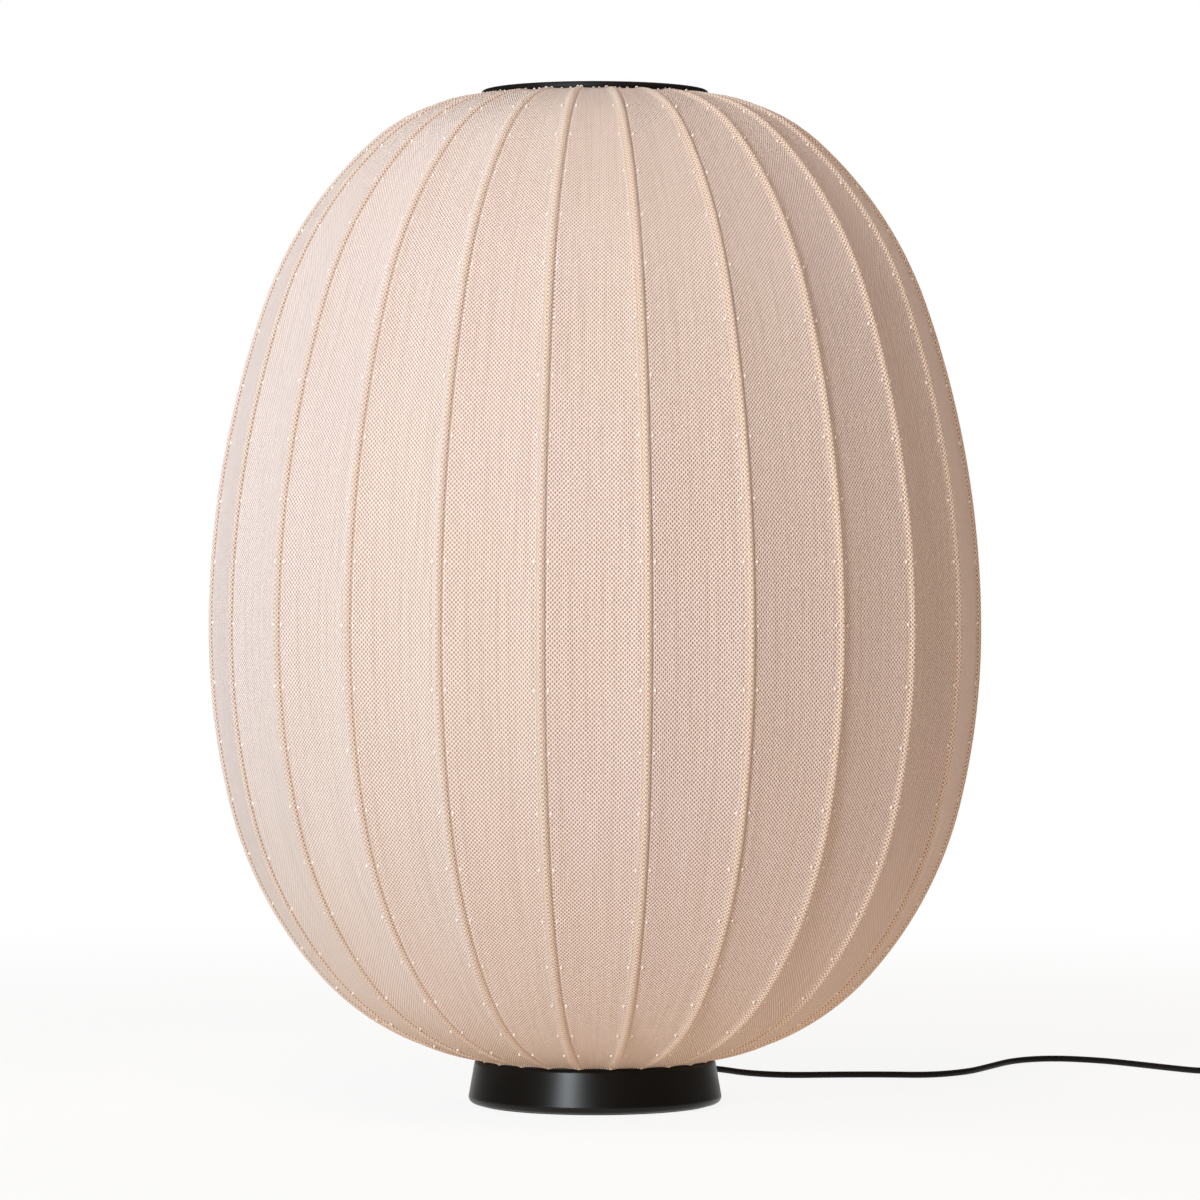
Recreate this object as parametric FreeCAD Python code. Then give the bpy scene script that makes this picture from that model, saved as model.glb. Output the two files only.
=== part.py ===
import FreeCAD, Part
import os
from math import atan, cos, pi, radians, sin, sqrt, tan

# Knitted floor lamp: a gored knit shade stretched over bowed rods between two rings, on a weighted foot.
# Millimetres, +Z up. The origin is on the floor under the lamp's axis, and the front faces -Y.

Vector = FreeCAD.Vector
ORIGIN = Vector(0, 0, 0)
ALONG_X = Vector(1, 0, 0)
ALONG_Y = Vector(0, 1, 0)
UP = Vector(0, 0, 1)
SAME_PLACE = 1e-6

# Shade: the outer line of the knit over a rib, as three tangent arcs above and below the widest height
RIB_COUNT = 24
SHADE_RADIUS = 325.0
WIDEST_HEIGHT = 399.0
CROWN_HEIGHT = 847.5
HEM_HEIGHT = 38.6
UPPER_HEADINGS = (19.3, 47.7, 86.8)
LOWER_HEADINGS = (13.5, 41.6, 81.4)
UPPER_ARC_RATIO = 2.2
LOWER_ARC_RATIO = 1.53
STATIONS_PER_ARC = 2

# Knit and the channels that hold the rods
KNIT_THICKNESS = 1.0
CHANNEL_WALL = 0.7
CHANNEL_SLOPE = 33.5
CHANNEL_FIT = 0.3
PANEL_DIP_PER_WIDTH = 0.018

# Rods
ROD_RADIUS = 1.5
ROD_TIP = 9.0
SOCKET_FIT = 0.1
SOCKET_END_GAP = 0.2

# Top ring
TOP_RING_RADIUS = 93.5
TOP_RING_WALL = 11.5
TOP_RING_DEPTH = 9.8
TOP_LIP_OVERHANG = 1.7
TOP_LIP_HEIGHT = 4.2
TOP_LIP_ROUND = 1.6
HEM_FIT = 0.4
LIP_FIT = 0.3

# Lower ring
LOWER_RING_RADIUS = 99.0
LOWER_RING_WALL = 22.0
LOWER_RING_HEIGHT = 10.0
LOWER_RING_ROUND = 1.2

# Foot
FOOT_RADIUS = 107.5
FOOT_TOP_RADIUS = 101.2
FOOT_HEIGHT = 37.0
FOOT_CLEARANCE = 1.0
FOOT_WALL = 2.0
FOOT_LOWER_ROUND = 5.0
FOOT_UPPER_ROUND = 3.0
FOOT_RIM_RETURN = 0.5
PAD_THICKNESS = 2.0
PAD_INSET = 2.0
PLATE_THICKNESS = 2.5
PLATE_FIT = 0.5
BALLAST_THICKNESS = 18.0
BALLAST_FIT = 1.5
BALLAST_BORE = 22.0
BALLAST_SLOT = 15.0
BOSS_RADIUS = 7.0

# Tie screws through plate, ballast and shell into the lower ring
TIE_COUNT = 4
TIE_FIRST_ANGLE = 45.0
TIE_CIRCLE_RADIUS = 87.5
TIE_RADIUS = 2.0
TIE_HEAD_RADIUS = 4.2
TIE_HEAD_HEIGHT = 2.2
TIE_REACH = 8.0
SCREW_FIT = 0.1
SCREW_CLEARANCE = 0.3

# Stem with its nut and collar
STEM_RADIUS = 6.0
STEM_BORE = 4.2
STEM_FIT = 0.1
STEM_BELOW_NUT = 2.0
NUT_HEIGHT = 6.0
NUT_ACROSS_FLATS = 19.0
COLLAR_RADIUS = 11.0
COLLAR_HEIGHT = 6.0
COLLAR_ROUND = 1.5

# Lamp holder, heights counted from the underside of its cap
HOLDER_HEIGHT = 290.0
CAP_RADIUS = 19.5
CAP_WALL = 2.2
CAP_FLOOR = 3.0
CAP_HEIGHT = 16.0
CAP_ROUND = 4.0
SPIGOT_RADIUS = 17.0
SPIGOT_HEIGHT = 10.0
HOLDER_NUT_HEIGHT = 4.0
HOLDER_NUT_ACROSS_FLATS = 17.0
STEM_ABOVE_NUT = 1.5
SLEEVE_RADIUS = 20.0
SLEEVE_HEIGHT = 46.0
SLEEVE_ROUND = 0.8
HOLDER_FIT = 0.3
INSERT_HEIGHT = 10.0
SCREW_SHELL_BORE = 13.7
SCREW_SHELL_WALL = 0.8
SCREW_SHELL_HEIGHT = 23.0
CONTACT_RADIUS = 3.5
CONTACT_HEIGHT = 0.6

# Bulb
BULB_TIP_RADIUS = 4.0
BULB_TIP_HEIGHT = 1.6
BULB_CAP_RADIUS = 13.2
BULB_CAP_HEIGHT = 20.0
BULB_SKIRT_FOOT_RADIUS = 13.4
BULB_SKIRT_TOP_RADIUS = 24.6
BULB_SKIRT_HEIGHT = 37.0
BULB_SKIRT_BULGE = 2.5
GLOBE_RADIUS = 30.0
GLOBE_WALL = 1.2

# Cord, its outlet in the foot and the way inside
CORD_RADIUS = 2.75
CORD_FLOOR_GAP = 0.05
ARC_SHARE_OF_RUN = 0.45
OUTLET_HEIGHT = 14.0
RELIEF_NECK_RADIUS = 4.9
RELIEF_NECK_FIT = 0.3
RELIEF_COLLAR_RADIUS = 6.5
RELIEF_COLLAR_LENGTH = 4.0
RELIEF_FLANGE_RADIUS = 8.0
RELIEF_FLANGE_LENGTH = 2.8
RELIEF_SEAT_GAP = 0.4
RELIEF_TAPER_LENGTH = 30.0
RELIEF_TAPER_FOOT = 6.0
RELIEF_TAPER_TIP = 4.0
RELIEF_CORD_FIT = 0.1

# Foot switch on the cord
SWITCH_LENGTH = 84.0
SWITCH_WIDTH = 46.0
SWITCH_HEIGHT = 24.0
SWITCH_SPLIT = 9.0
SWITCH_WALL = 2.2
SWITCH_CORNER = 17.0
SWITCH_CROWN_ROUND = 6.0
SWITCH_FOOT_ROUND = 1.5
SWITCH_CORD_FIT = 0.25
SWITCH_CORD_ENTRY = 4.0
SWITCH_BOSS_RADIUS = 3.5
SWITCH_BOSS_SPREAD = 58.0
SWITCH_BOSS_FIT = 0.3
SWITCH_SCREW_RADIUS = 1.3
SWITCH_SCREW_HEAD = 2.6
SWITCH_SCREW_HEAD_HEIGHT = 1.2
SWITCH_SCREW_LENGTH = 9.0
BUTTON_RADIUS = 13.0
BUTTON_FIT = 0.5
BUTTON_RISE = 4.5
BUTTON_ROUND = 2.0
BUTTON_FLANGE = 2.2
BUTTON_FLANGE_HEIGHT = 2.5
BUTTON_STOP_GAP = 0.3
BUTTON_POCKET_RADIUS = 8.0
BUTTON_TOP_WALL = 4.0
SPRING_RADIUS = 5.8
SPRING_WIRE_RADIUS = 0.5
SPRING_TURNS = 6
SPRING_SEAT_GAP = 0.1
SPRING_POST_RADIUS = 4.2
SPRING_POST_HEIGHT = 8.0

# Coil of spare cord and its tie
COIL_HALF_TURNS_PER_LAYER = 7
COIL_OUTER_RADIUS = 43.9
COIL_PITCH = 6.2
COIL_LAYER = 6.2
COIL_SEAT = 1.15
TIE_BAND_WIDTH = 10.0
TIE_BAND_THICKNESS = 0.8
TIE_BAND_GAP = 0.35
TIE_BAND_ROUND = 1.5

# Plug
PLUG_LENGTH = 36.0
PLUG_WIDTH = 26.0
PLUG_NECK_WIDTH = 14.0
PLUG_THICKNESS = 14.0
PLUG_SHOULDER = 15.0
PLUG_ROUND = 3.0
PLUG_FLOOR_GAP = 0.05
PLUG_TAPER_LENGTH = 24.0
PLUG_TAPER_FOOT = 5.5
PLUG_TAPER_TIP = 3.8
PIN_RADIUS = 2.0
PIN_LENGTH = 19.0
PIN_SPACING = 19.0
PIN_ROUND = 1.2

# Places that follow from the sizes above
HALF_RIB_ANGLE = pi / RIB_COUNT
CHANNEL_COVER = ROD_RADIUS + CHANNEL_FIT + CHANNEL_WALL
ROD_INSET = CHANNEL_COVER / cos(radians(CHANNEL_SLOPE))
CROWN_ROD_RADIUS = (TOP_RING_RADIUS + HEM_FIT) / cos(HALF_RIB_ANGLE)
CROWN_RADIUS = CROWN_ROD_RADIUS + ROD_INSET * cos(radians(UPPER_HEADINGS[-1]))
HEM_ROD_RADIUS = (LOWER_RING_RADIUS + HEM_FIT) / cos(HALF_RIB_ANGLE)
HEM_RADIUS = HEM_ROD_RADIUS + ROD_INSET * cos(radians(LOWER_HEADINGS[-1]))
TOP_LIP_LOW = CROWN_HEIGHT + LIP_FIT
PLATE_TOP = PAD_THICKNESS + PLATE_THICKNESS
SHELL_UNDERSIDE = FOOT_HEIGHT - FOOT_WALL
STEM_FOOT = SHELL_UNDERSIDE - NUT_HEIGHT - STEM_BELOW_NUT
STEM_TOP = HOLDER_HEIGHT + CAP_FLOOR + HOLDER_NUT_HEIGHT + STEM_ABOVE_NUT
SLEEVE_FOOT = HOLDER_HEIGHT + CAP_HEIGHT
INSERT_FOOT = SLEEVE_FOOT + SPIGOT_HEIGHT
INSERT_TOP = INSERT_FOOT + INSERT_HEIGHT
BULB_TIP_FOOT = INSERT_TOP + CONTACT_HEIGHT
BULB_CAP_FOOT = BULB_TIP_FOOT + BULB_TIP_HEIGHT
BULB_SKIRT_FOOT = BULB_CAP_FOOT + BULB_CAP_HEIGHT
GLOBE_FOOT = BULB_SKIRT_FOOT + BULB_SKIRT_HEIGHT
RELIEF_SEAT = FOOT_RADIUS + RELIEF_SEAT_GAP
RELIEF_MOUTH = RELIEF_SEAT + RELIEF_FLANGE_LENGTH + RELIEF_TAPER_LENGTH
CORD_ON_FLOOR = CORD_RADIUS + CORD_FLOOR_GAP

# Free route of the cord on the floor, from the strain relief's mouth to the switch
LEAD_ROUTE = [
    Vector(0, RELIEF_MOUTH, OUTLET_HEIGHT),
    Vector(0, RELIEF_MOUTH + 22, OUTLET_HEIGHT),
    Vector(2, 190, 8),
    Vector(10, 222, CORD_ON_FLOOR),
    Vector(26, 262, CORD_ON_FLOOR),
    Vector(52, 288, CORD_ON_FLOOR),
    Vector(84, 288, CORD_ON_FLOOR),
    Vector(112, 262, CORD_ON_FLOOR),
    Vector(134, 226, CORD_ON_FLOOR),
    Vector(168, 207, CORD_ON_FLOOR),
    Vector(212, 213, CORD_ON_FLOOR),
    Vector(256, 214, CORD_ON_FLOOR),
    Vector(296, 208, CORD_ON_FLOOR),
    Vector(331, 238, CORD_ON_FLOOR),
    Vector(352, 282, CORD_ON_FLOOR),
    Vector(380, 344, CORD_ON_FLOOR),
    Vector(418, 366, CORD_ON_FLOOR),
    Vector(460, 343, CORD_ON_FLOOR),
    Vector(490, 306, CORD_ON_FLOOR),
    Vector(520, 266, CORD_ON_FLOOR),
    Vector(541, 243, CORD_ON_FLOOR),
    Vector(558, 233, 6),
    Vector(574, 231, SWITCH_SPLIT),
    Vector(586, 231, SWITCH_SPLIT),
]
SWITCH_PLACE = LEAD_ROUTE[-1] - UP * SWITCH_SPLIT
SWITCH_EXIT = LEAD_ROUTE[-1] + ALONG_X * SWITCH_LENGTH
COIL_START = Vector(SWITCH_EXIT.x + 68, SWITCH_EXIT.y - 2, CORD_RADIUS + COIL_SEAT)
TAIL_ROUTE = [
    SWITCH_EXIT,
    SWITCH_EXIT + ALONG_X * 14,
    Vector(SWITCH_EXIT.x + 34, SWITCH_EXIT.y + 1, 6),
    COIL_START - ALONG_X * 14,
    COIL_START,
]


def lathe(outline):
    """Turned piece from a closed outline of (radius, height) corners."""
    corners = [Vector(radius, 0, height) for radius, height in outline]
    face = Part.Face(Part.makePolygon(corners + corners[:1]))
    return face.revolve(ORIGIN, UP, 360)


def tube(radius, bore, low, high):
    """Round wall between two heights."""
    return lathe([(bore, low), (radius, low), (radius, high), (bore, high)])


def rod(radius, low, high, place=ORIGIN):
    """Upright cylinder between two heights, on a line through place."""
    return Part.makeCylinder(radius, high - low, Vector(place.x, place.y, low))


def hexagon_nut(across_flats, bore, low, high):
    """Hexagon nut round the lamp's axis."""
    corner = across_flats / sqrt(3)
    points = [Vector(corner * cos(k * pi / 3), corner * sin(k * pi / 3), low) for k in range(7)]
    body = Part.Face(Part.makePolygon(points)).extrude(UP * (high - low))
    return body.cut(rod(bore, low, high))


def turned(shape, degrees):
    """Copy of a shape turned about the lamp's axis."""
    copy = shape.copy()
    copy.rotate(ORIGIN, UP, degrees)
    return copy


def around(shape, count, first=0.0):
    """Evenly spaced copies of a shape round the lamp's axis."""
    return [turned(shape, first + 360 * k / count) for k in range(count)]


def edges_at(shape, height):
    """Edges that lie wholly at one height."""
    return [e for e in shape.Edges if all(abs(v.Z - height) < SAME_PLACE for v in e.Vertexes)]


def rounded_at(shape, radius, height):
    """Shape with the edges at one height rounded."""
    return shape.makeFillet(radius, edges_at(shape, height))


def swept(path, radius, start, heading):
    """Round wire swept along a path."""
    circle = Part.Wire(Part.makeCircle(radius, start, heading))
    return path.makePipeShell([circle], True, False)


def arc_radii(reach, rise, headings, ratio):
    """Radii of three tangent arcs that start upright and cover a reach and a rise.

    The headings in degrees are where each arc ends, and the second radius is ratio times the third.
    """
    c1, c2, c3 = [cos(radians(h)) for h in headings]
    s1, s2, s3 = [sin(radians(h)) for h in headings]
    first_reach = 1 - c1
    other_reach = ratio * (c1 - c2) + c2 - c3
    other_rise = ratio * (s2 - s1) + s3 - s2
    scale = first_reach * other_rise - other_reach * s1
    first = (reach * other_rise - other_reach * rise) / scale
    third = (first_reach * rise - s1 * reach) / scale
    return first, ratio * third, third


def half_meridian(end_radius, end_height, headings, ratio, steps):
    """Stations (radius, height, heading) of a rod's axis from the widest height to one end."""
    side = 1 if end_height > WIDEST_HEIGHT else -1
    radii = arc_radii(SHADE_RADIUS - end_radius, abs(end_height - WIDEST_HEIGHT), headings, ratio)
    stations = [(SHADE_RADIUS - ROD_INSET, WIDEST_HEIGHT, 0.0)]
    start = 0.0
    for radius, heading in zip(radii, headings):
        bend = radius - ROD_INSET
        r, z, _ = stations[-1]
        for step in range(1, steps + 1):
            angle = radians(start + (heading - start) * step / steps)
            inward = bend * (cos(radians(start)) - cos(angle))
            along = bend * (sin(angle) - sin(radians(start)))
            stations.append((r - inward, z + side * along, side * angle))
        start = heading
    return stations


def meridian(steps):
    """Stations of a rod's axis from the lower ring to the top ring."""
    lower = half_meridian(HEM_RADIUS, HEM_HEIGHT, LOWER_HEADINGS, LOWER_ARC_RATIO, steps)
    upper = half_meridian(CROWN_RADIUS, CROWN_HEIGHT, UPPER_HEADINGS, UPPER_ARC_RATIO, steps)
    return lower[::-1] + upper[1:]


def upward(station):
    """Direction of the rod at a station, from the lower ring to the top ring."""
    return Vector(-sin(station[2]), 0, cos(station[2]))


def rod_tips():
    """Both ends of a rod's curve with the outward direction of its straight tip."""
    stations = meridian(1)
    ends = [(stations[0], -upward(stations[0])), (stations[-1], upward(stations[-1]))]
    return [(Vector(s[0], 0, s[1]), way) for s, way in ends]


def shade_rod():
    """Bowed rod in the X-Z plane: six tangent arcs with a straight tip at each end."""
    points = [Vector(r, 0, z) for r, z, _ in meridian(2)]
    (low_end, low_way), (top_end, top_way) = rod_tips()
    start = low_end + low_way * ROD_TIP
    edges = [Part.LineSegment(start, low_end).toShape()]
    for k in range(0, len(points) - 1, 2):
        edges.append(Part.Arc(points[k], points[k + 1], points[k + 2]).toShape())
    edges.append(Part.LineSegment(top_end, top_end + top_way * ROD_TIP).toShape())
    return swept(Part.Wire(edges), ROD_RADIUS, start, low_way)


def rod_sockets(end):
    """Blind holes that take the rods' tips at one end, 0 for the lower ring and 1 for the top ring."""
    place, way = rod_tips()[end]
    hole = Part.makeCylinder(ROD_RADIUS + SOCKET_FIT, ROD_TIP + SOCKET_END_GAP, place, way)
    return around(hole, RIB_COUNT, 180 / RIB_COUNT)


def gore_section(station, cover, face):
    """Section of one gore across the knit, from the ridge of a rib to the next.

    cover is the distance of the channel's two slopes from the rod's axis, and face the height of the
    panel above that axis where the slopes end. The panel between them dips inwards as an arc.
    """
    r, z, heading = station
    outward = Vector(cos(heading), 0, sin(heading) * cos(HALF_RIB_ANGLE)).normalize()
    slope = radians(CHANNEL_SLOPE)
    ridge = cover / cos(slope)
    root = (ridge - face) / tan(slope)
    spread = ridge * outward.x * tan(HALF_RIB_ANGLE)
    middle = Vector(r * cos(HALF_RIB_ANGLE), 0, z)
    half_width = r * sin(HALF_RIB_ANGLE)
    left_ridge = middle + outward * ridge - ALONG_Y * (half_width + spread)
    right_ridge = middle + outward * ridge + ALONG_Y * (half_width + spread)
    left_root = middle + outward * face - ALONG_Y * (half_width - root)
    right_root = middle + outward * face + ALONG_Y * (half_width - root)
    dip = middle + outward * (face - PANEL_DIP_PER_WIDTH * 2 * half_width)
    edges = [
        Part.LineSegment(left_ridge, left_root).toShape(),
        Part.Arc(left_root, dip, right_root).toShape(),
        Part.LineSegment(right_root, right_ridge).toShape(),
    ]
    return Part.Wire(edges), left_ridge, right_ridge


def gore_end(outer, inner):
    """Flat edge of a gore between its outer and inner sections."""
    sides = [Part.LineSegment(outer[k], inner[k]).toShape() for k in (1, 2)]
    return Part.Face(Part.Wire(Part.__sortEdges__(outer[0].Edges + inner[0].Edges + sides)))


def knit_shade():
    """One closed knit: equal gores lofted from hem to crown and sewn along their ribs."""
    stations = meridian(STATIONS_PER_ARC)
    outer = [gore_section(s, CHANNEL_COVER, KNIT_THICKNESS / 2) for s in stations]
    inner = [gore_section(s, CHANNEL_COVER - CHANNEL_WALL, -KNIT_THICKNESS / 2) for s in stations]
    faces = Part.makeLoft([s[0] for s in outer], False, False).Faces
    faces += Part.makeLoft([s[0] for s in inner], False, False).Faces
    faces += [gore_end(outer[0], inner[0]), gore_end(outer[-1], inner[-1])]
    shell = Part.Shell([copy for face in faces for copy in around(face, RIB_COUNT)])
    shell.sewShape()
    solid = Part.Solid(shell)
    if solid.Volume < 0:
        solid.reverse()
    return solid


def top_ring():
    """Ring at the crown: sockets for the rods under a lip that covers the knit's edge."""
    bore = TOP_RING_RADIUS - TOP_RING_WALL
    lip = TOP_RING_RADIUS + TOP_LIP_OVERHANG
    low = TOP_LIP_LOW - TOP_RING_DEPTH
    high = TOP_LIP_LOW + TOP_LIP_HEIGHT
    body = lathe(
        [
            (bore, low),
            (TOP_RING_RADIUS, low),
            (TOP_RING_RADIUS, TOP_LIP_LOW),
            (lip, TOP_LIP_LOW),
            (lip, high),
            (bore, high),
        ]
    )
    return rounded_at(body, TOP_LIP_ROUND, high).cut(rod_sockets(1))


def tie_holes(radius, low, high):
    """Holes for the tie screws between two heights."""
    hole = rod(radius, low, high, ALONG_X * TIE_CIRCLE_RADIUS)
    return around(hole, TIE_COUNT, TIE_FIRST_ANGLE)


def lower_ring():
    """Ring on the foot with sockets for the rods and threaded holes for the tie screws."""
    high = FOOT_HEIGHT + LOWER_RING_HEIGHT
    body = tube(LOWER_RING_RADIUS, LOWER_RING_RADIUS - LOWER_RING_WALL, FOOT_HEIGHT, high)
    body = rounded_at(body, LOWER_RING_ROUND, high)
    holes = tie_holes(TIE_RADIUS + SCREW_FIT, FOOT_HEIGHT, FOOT_HEIGHT + TIE_REACH + SCREW_FIT)
    return body.cut(rod_sockets(0) + holes)


def foot_lean():
    """Lean of the foot's wall from the upright."""
    return atan((FOOT_RADIUS - FOOT_TOP_RADIUS) / (FOOT_HEIGHT - FOOT_CLEARANCE))


def foot_opening():
    """Radius of the opening under the foot, a little inside its rounded lower edge."""
    return FOOT_RADIUS - FOOT_LOWER_ROUND / tan((pi / 2 - foot_lean()) / 2) - FOOT_RIM_RETURN


def foot_form(inset):
    """Shallow cone of the foot, rounded above and below, moved inwards by an inset."""
    low = FOOT_CLEARANCE + inset
    high = FOOT_HEIGHT - inset
    sideways = inset / cos(foot_lean())
    drift = inset * tan(foot_lean())
    body = Part.makeCone(
        FOOT_RADIUS - sideways - drift, FOOT_TOP_RADIUS - sideways + drift, high - low, UP * low
    )
    body = rounded_at(body, FOOT_LOWER_ROUND - inset, low)
    return rounded_at(body, FOOT_UPPER_ROUND - inset, high)


def along_outlet(shape):
    """Piece turned about Z, laid on the outlet's axis: its height becomes the distance behind the lamp."""
    copy = shape.copy()
    copy.rotate(ORIGIN, ALONG_X, -90)
    copy.translate(UP * OUTLET_HEIGHT)
    return copy


def foot_shell():
    """Pressed cover of the foot, open underneath inside its turned-in rim."""
    cavity = foot_form(FOOT_WALL)
    opening = rod(foot_opening(), 0, PLATE_TOP)
    outlet = along_outlet(rod(RELIEF_NECK_RADIUS + RELIEF_NECK_FIT, BALLAST_BORE, RELIEF_MOUTH))
    stem_hole = rod(STEM_RADIUS + STEM_FIT, STEM_FOOT, FOOT_HEIGHT + COLLAR_HEIGHT)
    holes = tie_holes(TIE_RADIUS + SCREW_CLEARANCE, STEM_FOOT, FOOT_HEIGHT + COLLAR_HEIGHT)
    return foot_form(0).cut(cavity.fuse(opening)).cut(holes + [outlet, stem_hole])


def foot_ballast():
    """Cast weight in the foot, slotted for the cord, with bosses that carry the shell's top."""
    radius = FOOT_TOP_RADIUS - FOOT_WALL - BALLAST_FIT
    body = tube(radius, BALLAST_BORE, PLATE_TOP, PLATE_TOP + BALLAST_THICKNESS)
    boss = rod(BOSS_RADIUS, PLATE_TOP, SHELL_UNDERSIDE, ALONG_X * TIE_CIRCLE_RADIUS)
    body = body.fuse(around(boss, TIE_COUNT, TIE_FIRST_ANGLE)).removeSplitter()
    corner = Vector(-BALLAST_SLOT / 2, 0, PLATE_TOP)
    slot = Part.makeBox(BALLAST_SLOT, FOOT_RADIUS, BALLAST_THICKNESS, corner)
    return body.cut([slot] + tie_holes(TIE_RADIUS + SCREW_CLEARANCE, PLATE_TOP, SHELL_UNDERSIDE))


def foot_plate():
    """Steel plate that closes the foot, countersunk for the tie screws."""
    body = rod(foot_opening() - PLATE_FIT, PAD_THICKNESS, PLATE_TOP)
    sink = Part.makeCone(
        TIE_HEAD_RADIUS + SCREW_CLEARANCE,
        TIE_RADIUS + SCREW_CLEARANCE,
        TIE_HEAD_HEIGHT,
        Vector(TIE_CIRCLE_RADIUS, 0, PAD_THICKNESS),
    )
    holes = tie_holes(TIE_RADIUS + SCREW_CLEARANCE, PAD_THICKNESS, PLATE_TOP)
    return body.cut(around(sink, TIE_COUNT, TIE_FIRST_ANGLE) + holes)


def foot_pad():
    """Felt disc that the lamp stands on."""
    return rod(foot_opening() - PLATE_FIT - PAD_INSET, 0, PAD_THICKNESS)


def tie_screws():
    """Countersunk screws from the plate up into the lower ring."""
    place = Vector(TIE_CIRCLE_RADIUS, 0, PAD_THICKNESS)
    head = Part.makeCone(TIE_HEAD_RADIUS, TIE_RADIUS, TIE_HEAD_HEIGHT, place)
    shank = rod(TIE_RADIUS, PAD_THICKNESS + TIE_HEAD_HEIGHT, FOOT_HEIGHT + TIE_REACH, place)
    screw = head.fuse(shank).removeSplitter()
    return Part.makeCompound(around(screw, TIE_COUNT, TIE_FIRST_ANGLE))


def stem_collar():
    """Round collar that clamps the stem on top of the foot."""
    body = tube(COLLAR_RADIUS, STEM_RADIUS + STEM_FIT, FOOT_HEIGHT, FOOT_HEIGHT + COLLAR_HEIGHT)
    outer_edge = max(edges_at(body, FOOT_HEIGHT + COLLAR_HEIGHT), key=lambda edge: edge.Length)
    return body.makeFillet(COLLAR_ROUND, [outer_edge])


def stem_pieces():
    """Stem tube with the nut under the foot's top and the collar above it."""
    nut_low = SHELL_UNDERSIDE - NUT_HEIGHT
    return {
        "stem_tube": tube(STEM_RADIUS, STEM_BORE, STEM_FOOT, STEM_TOP),
        "stem_nut": hexagon_nut(NUT_ACROSS_FLATS, STEM_RADIUS + STEM_FIT, nut_low, SHELL_UNDERSIDE),
        "stem_collar": stem_collar(),
    }


def holder_cap():
    """Lower cap of the lamp holder, a cup on the stem with a spigot for the sleeve."""
    outer = rod(CAP_RADIUS, HOLDER_HEIGHT, SLEEVE_FOOT)
    outer = rounded_at(outer, CAP_ROUND, HOLDER_HEIGHT)
    outer = outer.fuse(rod(SPIGOT_RADIUS, SLEEVE_FOOT, INSERT_FOOT)).removeSplitter()
    hollow = rod(SPIGOT_RADIUS - CAP_WALL, HOLDER_HEIGHT + CAP_FLOOR, INSERT_FOOT)
    stem_hole = rod(STEM_RADIUS + STEM_FIT, HOLDER_HEIGHT, STEM_TOP)
    return outer.cut([hollow, stem_hole])


def holder_sleeve():
    """Outer sleeve of the lamp holder round the screw shell."""
    high = SLEEVE_FOOT + SLEEVE_HEIGHT
    body = tube(SLEEVE_RADIUS, SPIGOT_RADIUS + HOLDER_FIT, SLEEVE_FOOT, high)
    return rounded_at(body, SLEEVE_ROUND, high)


def holder_pieces():
    """Lamp holder from its cap to the centre contact."""
    nut_low = HOLDER_HEIGHT + CAP_FLOOR
    nut_high = nut_low + HOLDER_NUT_HEIGHT
    shell_radius = SCREW_SHELL_BORE + SCREW_SHELL_WALL
    return {
        "holder_cap": holder_cap(),
        "holder_nut": hexagon_nut(HOLDER_NUT_ACROSS_FLATS, STEM_RADIUS + STEM_FIT, nut_low, nut_high),
        "holder_sleeve": holder_sleeve(),
        "holder_insert": rod(SPIGOT_RADIUS, INSERT_FOOT, INSERT_TOP),
        "screw_shell": tube(shell_radius, SCREW_SHELL_BORE, INSERT_TOP, INSERT_TOP + SCREW_SHELL_HEIGHT),
        "holder_contact": rod(CONTACT_RADIUS, INSERT_TOP, BULB_TIP_FOOT),
    }


def bulb_skirt():
    """Flared lower body of the bulb."""
    foot = Vector(BULB_SKIRT_FOOT_RADIUS, 0, BULB_SKIRT_FOOT)
    rim = Vector(BULB_SKIRT_TOP_RADIUS, 0, GLOBE_FOOT)
    across = (rim - foot).cross(ALONG_Y).normalize()
    side = Part.Arc(foot, (foot + rim) * 0.5 + across * BULB_SKIRT_BULGE, rim).toShape()
    top_centre = Vector(0, 0, GLOBE_FOOT)
    foot_centre = Vector(0, 0, BULB_SKIRT_FOOT)
    rest = Part.makePolygon([rim, top_centre, foot_centre, foot]).Edges
    return Part.Face(Part.Wire([side] + rest)).revolve(ORIGIN, UP, 360)


def bulb_globe():
    """Opal glass globe, open where it stands on the skirt."""
    centre_height = GLOBE_FOOT + sqrt(GLOBE_RADIUS**2 - BULB_SKIRT_TOP_RADIUS**2)
    centre = Vector(0, 0, centre_height)
    wall = Part.makeSphere(GLOBE_RADIUS, centre).cut(Part.makeSphere(GLOBE_RADIUS - GLOBE_WALL, centre))
    return wall.cut(rod(GLOBE_RADIUS, centre_height - GLOBE_RADIUS, GLOBE_FOOT))


def bulb_pieces():
    """Bulb in the holder, from its contact to its globe."""
    return {
        "bulb_tip": rod(BULB_TIP_RADIUS, BULB_TIP_FOOT, BULB_CAP_FOOT),
        "bulb_cap": rod(BULB_CAP_RADIUS, BULB_CAP_FOOT, BULB_SKIRT_FOOT),
        "bulb_skirt": bulb_skirt(),
        "bulb_globe": bulb_globe(),
    }


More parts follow.
